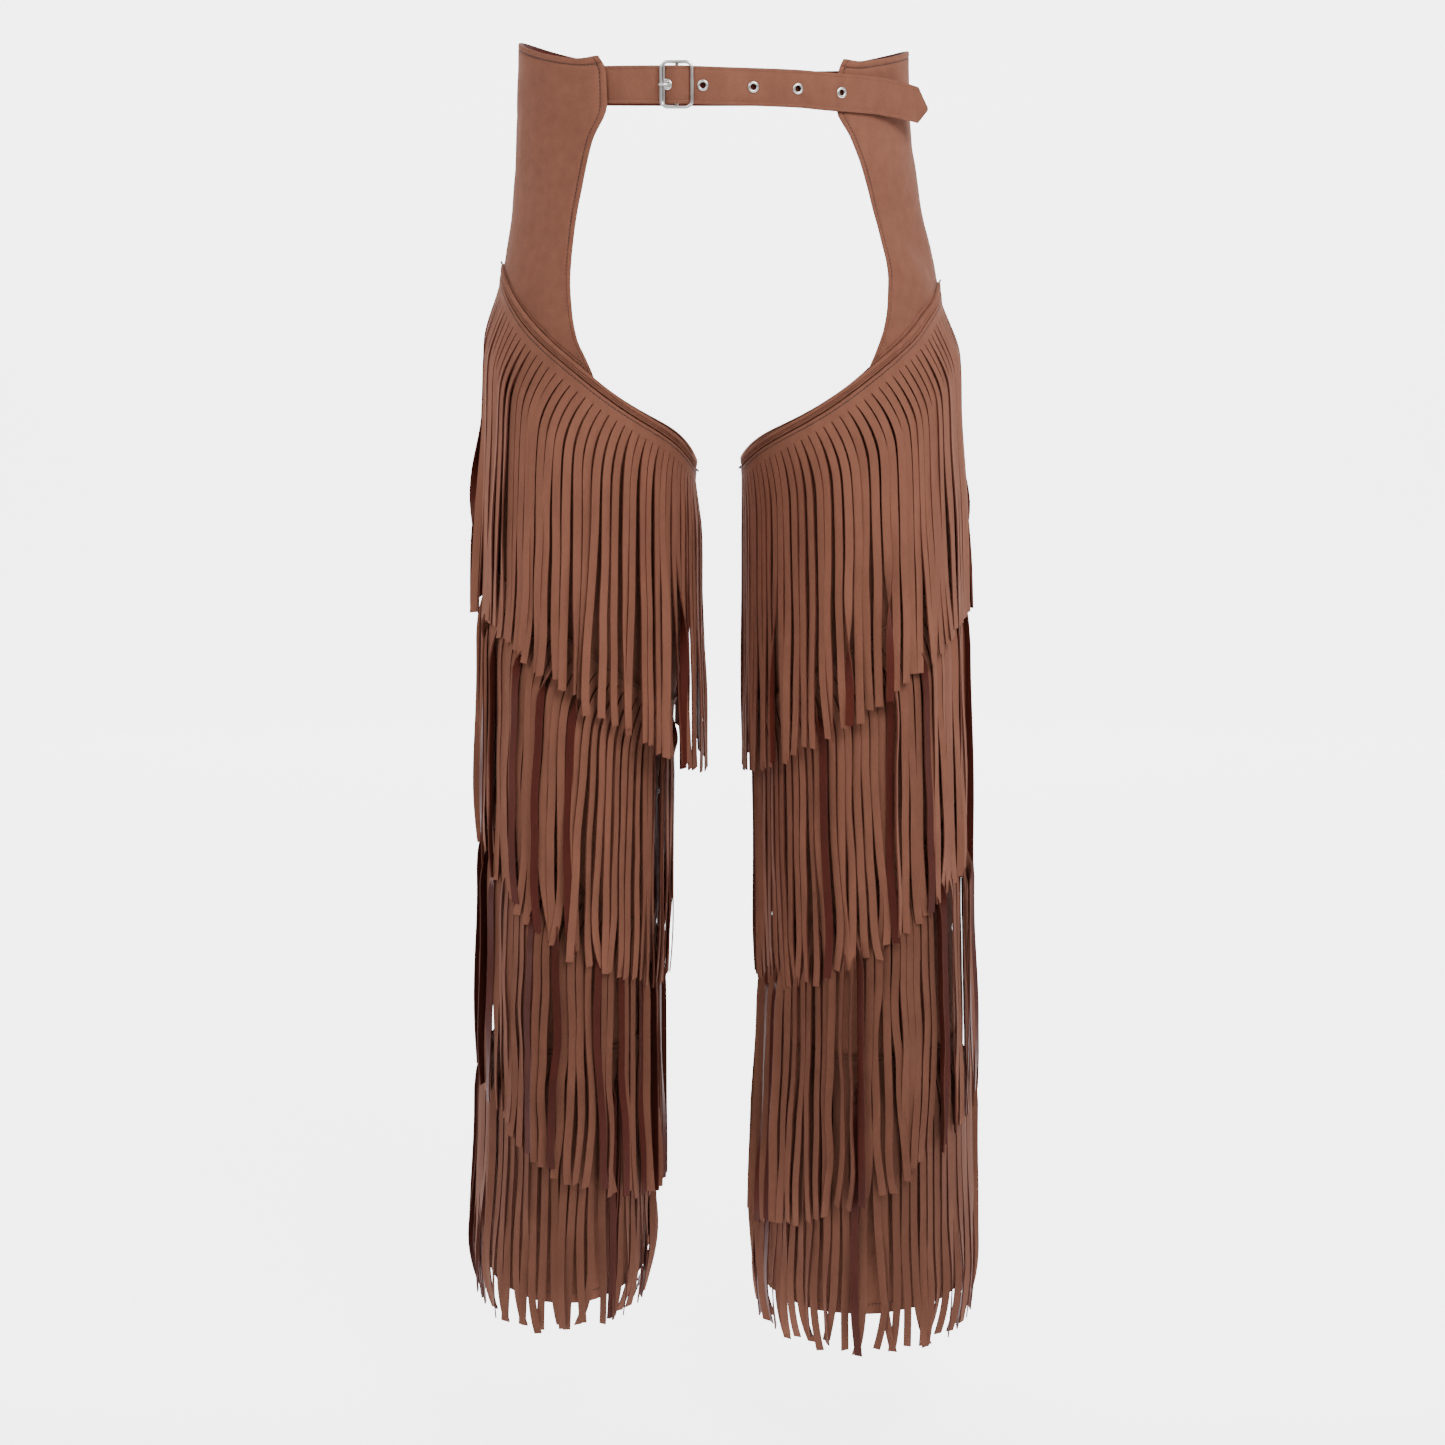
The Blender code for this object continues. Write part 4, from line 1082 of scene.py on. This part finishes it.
        # Turn about its own length
        turn = self.wobble * loose * math.sin(TURN_WAVE * reach + self.phase[2])
        turn += (self.shingle + self.wobble) * grown(reach, TURN_RATE)
        turn += self.tip_turn * ease(clamp((reach - TIP_TURN_STARTS) / TIP_TURN_LENGTH))
        share = clamp((reach - self.turn_start) / self.turn_length)
        turn += self.turn * ease(share)
        # Outwards, with room for the turn
        room = EDGE_ROOM * self.width * abs(math.sin(turn)) + TURNED_ROOM * (1 - math.cos(turn))
        room *= grown(reach, ROOM_RATE)
        room += self.clear * grown(share, 3 * abs(self.turn))
        lift = LIFT_WAVE_HEIGHT * loose * math.sin(LIFT_WAVE * reach + self.phase[1])
        lift += self.lift * grown(reach, LIFT_RATE)
        middle += out * (lift + room - self.tuck * end)
        tilt = self.slope * math.exp(-drop / (BEND_DEPTH * BEND_TILT))
        width = self.level * math.cos(tilt) + up * math.sin(tilt)
        turned_width = width * math.cos(turn) + out * math.sin(turn)
        turned_face = out * math.cos(turn) - width * math.sin(turn)
        return middle, turned_width, turned_face

    def corner(self, reach, right, outer):
        """One corner of the strand's section."""
        middle, width, face = self.frame(reach)
        wide = SIDE_WIDENED * self.side_on * grown(reach, WIDE_RATE)
        half = self.width / 2 * (1.0 - NARROWED * grown(reach, NARROW_RATE) + wide)
        hand = 1 if right else -1
        point = middle + width * (half * hand) + face * (self.thickness * (outer - 0.5))
        if reach > 0.999:
            point.z += self.cut * hand
        return point


class CHAPS_OT_fringe(Operator):
    """Slit four tiers of fringe on each leg, each hanging from its own band"""

    bl_idname = "chaps.fringe"
    bl_label = "Fringe"

    def execute(self, context):
        sizes, colours = context.scene.chaps_sizes, context.scene.chaps_colours
        for side in SIDES:
            for number in range(1, len(side.tiers) + 1):
                self.tier(side, number, sizes, colours)
        return {"FINISHED"}

    def slits(self, side, number, sizes):
        """Angles of the slits, evenly spaced along the band."""
        angles = evenly(0.0, math.tau, SLIT_STEPS)
        points = [
            surface(side, angle, header_height(side, number, angle), FRINGE_OUT) for angle in angles
        ]
        travelled = [0.0]
        for before, after in zip(points, points[1:]):
            travelled.append(travelled[-1] + (after - before).length)
        strands = round(travelled[-1] / sizes.strand_pitch)
        found, index = [], 0
        for strand in range(strands):
            wanted = travelled[-1] * strand / strands
            while travelled[index + 1] < wanted:
                index += 1
            share = (wanted - travelled[index]) / (travelled[index + 1] - travelled[index])
            found.append(angles[index] + (angles[index + 1] - angles[index]) * share)
        return found + [math.tau], travelled[-1]

    def tier(self, side, number, sizes, colours):
        slits, length = self.slits(side, number, sizes)
        uneven = random.Random(100 * number + side.sign)
        strands = []
        for start, end in zip(slits, slits[1:]):
            inset = (end - start) * SLIT_SHARE
            strands.append(Strand(side, number, (start + inset, end - inset), uneven, sizes))
            # No two neighbours show their reverse
            if len(strands) > 1 and abs(strands[-2].turn) > 2 and abs(strands[-1].turn) > 2:
                strands[-1].turn *= SECOND_TURN_KEPT
        columns, bands = 2 * len(strands), len(FRINGE_BAND_RIBS) - 1
        bm = ring_pattern(columns, bands)
        tips = []
        for face in bm.faces:
            if all(abs(vert.co.z + bands) < 1e-4 for vert in face.verts):
                around = sorted({ring_column(vert.co, columns)[0] for vert in face.verts})
                if around[0] % 2 == 0 and around[1] == around[0] + 1:
                    tips.append(face)
        for _ in STRAND_REACH:
            tips = bmesh.ops.extrude_discrete_faces(bm, faces=tips)["faces"]
            drop = {vert for face in tips for vert in face.verts}
            bmesh.ops.translate(bm, verts=list(drop), vec=(0, 0, -1))

        def tone_of(face):
            around, walls = zip(*(ring_column(vert.co, columns) for vert in face.verts))
            strand = strands[min(around) // 2]
            down = -sum(vert.co.z for vert in face.verts) / len(face.verts) - bands
            reverse = float(not any(walls))
            # The third value is the tier's painted shade, on the band and on every strand
            if down <= 0:
                return (SHADE, reverse, strand.habit.dull, 1.0)
            # Cut sides take the dark reverse colour: partly the cut edge's own colour, partly painted
            # shade between strands
            if len(set(around)) == 1:
                reverse = CUT_EDGE_AND_GAP_SHADE
            return (strand.shade, reverse, strand.habit.dull, 1.0)

        paint(bm, tone_of)
        for vert in bm.verts:
            column, outer = ring_column(vert.co, columns)
            strand = strands[column // 2]
            right = column % 2
            down = round(-vert.co.z)
            angle = strand.end if right else strand.start
            if down <= bands:
                rib = FRINGE_BAND_RIBS[down]
                z = header_height(side, number, angle) - rib.inset
                wall = (sizes.strand_thickness + rib.out) * outer
                vert.co = surface(side, angle, z, FRINGE_OUT + wall)
            else:
                vert.co = strand.corner(STRAND_REACH[down - bands - 1], right, outer)
        finish = suede("fringe_napped", colours, brightness=0.95, streak=0.35)
        name, nodes = f"fringe_cloth_{number}_{side.name}", [f"fringe_{number}_{side.name}"]
        piece = finish_piece(name, bm, finish, nodes)
        inset = FRINGE_BAND_RIBS[2].inset
        around = [
            (angle, header_height(side, number, angle) - inset)
            for angle in evenly(0.0, math.tau, ROUND_STEPS)
        ]
        thread = stitches(
            f"fringe_stitches_{number}_{side.name}", side, [around],
            FRINGE_OUT + sizes.strand_thickness - FRINGE_STITCH_SINK, number + 20, sizes, colours,
        )
        tier = side.tiers[number - 1]
        header = tier.header if tier.header is not None else side.seam.middle - TOP_BAND
        fall = header - tier.tip
        0.94 * length * fall


def belt_middle(degrees):
    """Middle of the long strap, seen from above."""
    return waist(degrees, smooth(BELT_PATH, degrees, "out"))


def facing(point, along):
    """Frame at a place on the belt: X along it, Z out of it."""
    across = along.normalized()
    return axes_at(point, across, Vector((0, 0, 1)), Vector((across.y, -across.x, 0)))


def belt_facing(degrees):
    """Frame on the long strap's middle, at its mid height."""
    along = belt_middle(degrees + 0.4) - belt_middle(degrees - 0.4)
    point = belt_middle(degrees)
    point.z = smooth(BELT_PATH, degrees, "rise")
    return facing(point, along)


def buckle_facing(out):
    """Frame at the buckle's middle, at a distance from the waist ring."""
    point = waist(BUCKLE_ANGLE, out)
    point.z = smooth(BELT_PATH, BUCKLE_ANGLE, "rise")
    return facing(point, waist(BUCKLE_ANGLE + 1, out) - waist(BUCKLE_ANGLE - 1, out))


def loop_round_bar(radius, start, end, step):
    """(Across, out) places of an arc round the buckle's centre bar."""
    turns = [math.radians(degrees) for degrees in steps(start, end, step)]
    return [(radius * math.cos(turn), BAR_OUT + radius * math.sin(turn)) for turn in turns]


def strap(name, points, rises, halves, thickness, finish, nodes):
    """A strap on edge with drawn-in edges: it follows points seen from above."""
    count = len(points) - 1

    def place(column, row, w):
        along = points[min(column + 1, count)] - points[max(column - 1, 0)]
        normal = Vector((along.y, -along.x, 0)).normalized()
        shape = STRAP_ROWS[row]
        half = thickness[column] / 2 - min(shape.draw, thickness[column] * 0.3)
        middle = points[column] + normal * half * (2 * w - 1)
        return Vector((middle.x, middle.y, rises[column] + halves[column] * (1 - 2 * shape.share)))

    return panel(name, count, len(STRAP_ROWS) - 1, place, finish, nodes)


def cut_away(target, cutters):
    """Cut shapes out of a piece and keep the result as its mesh."""
    guides = []
    for number, bm in enumerate(cutters):
        guide = put(f"cutter_{number}", as_mesh("cutter", bm))
        change = target.modifiers.new(f"cut_{number}", "BOOLEAN")
        change.operation = "DIFFERENCE"
        change.object = guide
        change.solver = "EXACT"
        guides.append(guide)
    bpy.context.view_layer.update()
    found = target.evaluated_get(bpy.context.evaluated_depsgraph_get())
    result = bpy.data.meshes.new_from_object(found)
    target.modifiers.clear()
    target.data = result
    result.shade_smooth()
    result.set_sharp_from_angle(angle=SHARP)
    for guide in guides:
        bpy.data.objects.remove(guide)


class CHAPS_OT_belt(Operator):
    """Make the long strap, the buckle's strap and the back strap"""

    bl_idname = "chaps.belt"
    bl_label = "Belt"

    def execute(self, context):
        colours = context.scene.chaps_colours
        finish = suede("belt_napped", colours, brightness=0.97, streak=0.6)
        self.long_strap(finish)
        self.buckle_strap(finish)
        self.back_strap(finish)
        return {"FINISHED"}

    def long_strap(self, finish):
        angles = steps(-52, BELT_PATH[-1].angle, 0.7)
        points = [belt_middle(angle) for angle in angles]
        rises = [smooth(BELT_PATH, angle, "rise") for angle in angles]
        halves = [BELT_WIDTH / 2] * len(angles)
        leaving = (belt_middle(angles[-1]) - belt_middle(angles[-1] - 1)).normalized()
        end = points[-1].copy()
        for row in FREE_END:
            points.append(end + leaving * row.distance)
            rises.append(row.rise)
            halves.append(row.half_height)
        thickness = [STRAP] * len(points)
        made = strap("belt_cloth", points, rises, halves, thickness, finish, ["belt_strap"])
        holes = []
        for angle in EYELET_ANGLES:
            bm = bmesh.new()
            bmesh.ops.create_cone(
                bm, cap_ends=True, segments=28, depth=5 * STRAP, radius1=EYELET_HOLE + METAL_GAP,
                radius2=EYELET_HOLE + METAL_GAP, matrix=belt_facing(angle),
            )
            holes.append(bm)
        cut_away(made, holes)

    def buckle_strap(self, finish):
        hidden, seen = steps(BUCKLE_STRAP_END, 36, 1.6), steps(30, -6, 1.5)
        angles = hidden + seen
        points = [waist(angle, UNDER_YOKE) for angle in hidden]
        points += [waist(angle, BUCKLE_STRAP_OUT) for angle in seen]
        thickness = [STRAP] * len(points)
        matrix = buckle_facing(0.0)
        fold = BAR_RADIUS + METAL_GAP + LOOP_STRAP / 2
        folded = [(0.0052, BUCKLE_STRAP_OUT), (0.0028, BAR_OUT - fold - METAL_GAP)]
        folded += loop_round_bar(fold, -90, -310, 11)
        points += [matrix @ Vector((across, 0, out)) for across, out in folded]
        thickness += [LOOP_STRAP] * len(folded)
        rises = [smooth(BELT_PATH, angle, "rise") for angle in angles]
        rises += [smooth(BELT_PATH, BUCKLE_ANGLE, "rise")] * len(folded)
        points = [Vector((point.x, point.y, 0)) for point in points]
        halves = [BELT_WIDTH / 2] * len(points)
        made = strap("buckle_strap_cloth", points, rises, halves, thickness, finish, ["buckle_strap"])
        slot = bmesh.new()
        bmesh.ops.create_cube(slot, size=1.0)
        bmesh.ops.scale(slot, verts=slot.verts[:], vec=(0.0096, 0.0040, 0.0090))
        bmesh.ops.translate(slot, verts=slot.verts[:], vec=(0.0006, 0, BAR_OUT))
        bmesh.ops.transform(slot, verts=slot.verts[:], matrix=matrix)
        cut_away(made, [slot])

    def back_strap(self, finish):
        angles = steps(180 - BACK_STRAP_REACH, 180 + BACK_STRAP_REACH, 1.6)
        points = [waist(angle, BACK_STRAP_OUT) for angle in angles]
        count = len(points)
        rises, halves, thickness = [0.0] * count, [BELT_WIDTH / 2] * count, [STRAP] * count
        made = strap("back_strap_cloth", points, rises, halves, thickness, finish, ["back_strap"])


def rod(name, points, radius, closed=False):
    """A round rod along points, made a mesh."""
    curve = bpy.data.curves.new(name, "CURVE")
    curve.dimensions = "3D"
    curve.bevel_depth = radius
    curve.bevel_resolution = 6
    curve.use_fill_caps = True
    spline = curve.splines.new("POLY")
    spline.points.add(len(points) - 1)
    spline.use_cyclic_u = closed
    for place, point in zip(spline.points, points):
        place.co = (*point, 1.0)
    made = put(name, curve)
    bpy.context.view_layer.update()
    bm = bmesh.new()
    bm.from_mesh(made.evaluated_get(bpy.context.evaluated_depsgraph_get()).to_mesh())
    bpy.data.objects.remove(made)
    return bm


class CHAPS_OT_metal(Operator):
    """Make the buckle's frame and tongue and the rolled eyelets"""

    bl_idname = "chaps.metal"
    bl_label = "Buckle and eyelets"

    def execute(self, context):
        finish = polished_metal(context.scene.chaps_colours)
        self.frame(finish)
        self.tongue(finish)
        self.eyelets(finish)
        return {"FINISHED"}

    def frame(self, finish):
        corners = []
        for corner, (right, up) in enumerate(((1, 1), (-1, 1), (-1, -1), (1, -1))):
            across = right * (FRAME_HALF_WIDTH - FRAME_CORNER)
            above = up * (FRAME_HALF_HEIGHT - FRAME_CORNER)
            for degrees in evenly(90 * corner, 90 * corner + 90, 8):
                turn = math.radians(degrees)
                arc = FRAME_CORNER * Vector((math.cos(turn), math.sin(turn), 0))
                corners.append(Vector((across, above, 0)) + arc)
        matrix = buckle_facing(FRAME_OUT)
        ring = rod("ring", [matrix @ point for point in corners], BAR_RADIUS, closed=True)
        bar = self.upright(0.0, BAR_OUT, FRAME_HALF_HEIGHT, BAR_RADIUS)
        slim = self.upright(
            SLIM_BAR_ACROSS, SLIM_BAR_OUT, FRAME_HALF_HEIGHT - SLIM_BAR_SHORTER, SLIM_BAR_RADIUS,
        )
        bars = merge(ring, (bar, slim))
        finish_piece("buckle_frame_polished", bars, finish, ["buckle_frame"])

    def upright(self, across, out, half_height, radius):
        """A straight upright bar of the buckle."""
        matrix = buckle_facing(out)
        ends = [matrix @ Vector((across, half_height * share, 0)) for share in (-1, 0, 1)]
        return rod("bar", ends, radius)

    def tongue(self, finish):
        places = loop_round_bar(TONGUE_LOOP, 100, -140, 12)
        across, out = places[-1]
        rows = [Path(across, out, 0.0)] + [Path(bend.across, bend.out, 0.0) for bend in TONGUE_BENDS]
        for place in steps(across, TONGUE_BENDS[-1].across, 0.0006)[1:]:
            places.append((place, smooth(rows, place, "out")))
        matrix = buckle_facing(0.0)
        points = [matrix @ Vector((across, 0, out)) for across, out in places]
        bm = rod("tongue", points, TONGUE_RADIUS)
        finish_piece("buckle_prong_polished", bm, finish, ["buckle_prong"])

    def eyelets(self, finish):
        profile = (
            (EYELET_HOLE, -STRAP * 0.9),
            (EYELET_HOLE, 0.0005),
            (EYELET_HOLE + 0.00025, 0.00085),
            (EYELET_HOLE + 0.0008, 0.00105),
            (EYELET_RADIUS - 0.0006, 0.0009),
            (EYELET_RADIUS - 0.0001, 0.0005),
            (EYELET_RADIUS, 0.0),
        )
        rings = []
        for angle in EYELET_ANGLES:
            ring = bmesh.new()
            verts = [ring.verts.new((radius, 0, height)) for radius, height in profile]
            edges = [ring.edges.new(pair) for pair in zip(verts, verts[1:])]
            bmesh.ops.spin(
                ring, geom=verts + edges, cent=(0, 0, 0), axis=(0, 0, 1), angle=math.tau, steps=32,
                use_merge=True,
            )
            bmesh.ops.remove_doubles(ring, verts=ring.verts[:], dist=1e-6)
            bmesh.ops.recalc_face_normals(ring, faces=ring.faces[:])
            bmesh.ops.solidify(ring, geom=ring.faces[:], thickness=0.0002)
            bmesh.ops.translate(ring, verts=ring.verts[:], vec=(0, 0, STRAP / 2 + LAY_GAP / 2))
            bmesh.ops.transform(ring, verts=ring.verts[:], matrix=belt_facing(angle))
            rings.append(ring)
        nodes = [f"eyelet_{number}" for number in range(1, len(EYELET_ANGLES) + 1)]
        finish_piece("eyelet_rings", merge(bmesh.new(), rings), finish, nodes)


class CHAPS_OT_stage(Operator):
    """Set up the pale floor, the soft studio light and the camera"""

    bl_idname = "chaps.stage"
    bl_label = "Stage"

    def execute(self, context):
        self.floor(context.scene.chaps_colours)
        for lamp in LAMPS:
            self.lamp(lamp)
        world = bpy.data.worlds.new("studio")
        world.use_nodes = True
        tree = world.node_tree
        direction = node(tree, "ShaderNodeTexCoord", output=0)
        depth = node(tree, "ShaderNodeSeparateXYZ", inputs={0: direction}, output=1)
        behind = ramp(tree, depth, *LIGHT_TURNS)
        light = tones(tree, behind, (1.0, 1.0, 1.0), (FRONT_LIGHT, BACK_LIGHT))
        tree.links.new(light.output, tree.nodes["Background"].inputs["Color"])
        context.scene.world = world
        camera = put("camera", bpy.data.cameras.new("camera"))
        camera.data.lens = CAMERA_LENS
        camera.data.sensor_width = 36.0
        camera.location = CAMERA_PLACE
        camera.rotation_euler = (math.pi / 2 - CAMERA_DIP, 0.0, 0.0)
        context.scene.camera = camera
        return {"FINISHED"}

    def floor(self, colours):
        """A paper sweep: level floor, a bend and a wall behind."""
        bm = bmesh.new()
        profile = [(FLOOR_FRONT, FLOOR_HEIGHT)]
        for degrees in evenly(0, 90, 12):
            turn = math.radians(degrees)
            y = FLOOR_BACK + FLOOR_BEND * math.sin(turn)
            profile.append((y, FLOOR_HEIGHT + FLOOR_BEND * (1 - math.cos(turn))))
        profile.append((FLOOR_BACK + FLOOR_BEND, WALL_TOP))
        verts = [bm.verts.new((-FLOOR_REACH, y, z)) for y, z in profile]
        edges = [bm.edges.new(pair) for pair in zip(verts, verts[1:])]
        grown = bmesh.ops.extrude_edge_only(bm, edges=edges)["geom"]
        bmesh.ops.translate(bm, verts=only_verts(grown), vec=(2 * FLOOR_REACH, 0, 0))
        bmesh.ops.recalc_face_normals(bm, faces=bm.faces[:])
        mesh = as_mesh("floor", bm)
        mesh.shade_smooth()
        mesh.materials.append(self.paper(colours))
        floor = put("floor", mesh)

    def paper(self, colours):
        """Pale paper that glows behind the chaps."""
        pale = colour(colours.floor)
        made, tree, shader, place = new_material(
            "floor_paper", Roughness=0.9, Base_Color=pale, Emission_Strength=BACKDROP_GLOW,
        )
        depth = node(tree, "ShaderNodeSeparateXYZ", inputs={0: place}, output=1)
        aside = node(tree, "ShaderNodeSeparateXYZ", inputs={0: place}, output=0)
        aside = aside.maths("ABSOLUTE", aside)
        glow = ramp(tree, depth, GLOW_STARTS, GLOW_FULL)
        glow = glow * ramp(tree, aside, GLOW_WIDTH, GLOW_EDGE, 1.0, GLOW_ASIDE)
        dull = colour(colours.floor, FRONT_GLOW / BACKDROP_GLOW)
        drive(tree, shader, Emission_Color=mix(tree, glow, dull, pale))
        return made

    def lamp(self, lamp):
        data = bpy.data.lights.new(lamp.name, "AREA")
        data.shape = "DISK"
        data.size = lamp.size
        data.energy = lamp.power
        made = put(lamp.name, data)
        made.location = lamp.place
        aim = Vector(lamp.aim) - Vector(lamp.place)
        made.rotation_euler = aim.to_track_quat("-Z", "Y").to_euler()


class CHAPS_PT_panel(Panel):
    """Lists the pieces of the chaps"""

    bl_idname = "CHAPS_PT_panel"
    bl_label = "Chaps"
    bl_space_type = "VIEW_3D"
    bl_region_type = "UI"
    bl_category = "Chaps"

    def draw(self, context):
        for group in (context.scene.chaps_sizes, context.scene.chaps_colours):
            for key in group.__annotations__:
                self.layout.prop(group, key)
        for operator in OPERATORS:
            self.layout.operator(operator.bl_idname)


GROUPS = (ChapsSizes, ChapsColours)
OPERATORS = (
    CHAPS_OT_legs,
    CHAPS_OT_top_bands,
    CHAPS_OT_fringe,
    CHAPS_OT_yokes,
    CHAPS_OT_belt,
    CHAPS_OT_metal,
    CHAPS_OT_stage,
)


def register():
    for entry in GROUPS + OPERATORS + (CHAPS_PT_panel,):
        bpy.utils.register_class(entry)
    bpy.types.Scene.chaps_sizes = PointerProperty(type=ChapsSizes)
    bpy.types.Scene.chaps_colours = PointerProperty(type=ChapsColours)


def unregister():
    del bpy.types.Scene.chaps_sizes
    del bpy.types.Scene.chaps_colours
    for entry in reversed(GROUPS + OPERATORS + (CHAPS_PT_panel,)):
        bpy.utils.unregister_class(entry)


def main():
    register()
    bpy.ops.chaps.legs()
    bpy.ops.chaps.top_bands()
    bpy.ops.chaps.fringe()
    bpy.ops.chaps.yokes()
    bpy.ops.chaps.belt()
    bpy.ops.chaps.metal()
    bpy.ops.chaps.stage()


if __name__ == "__main__":
    main()
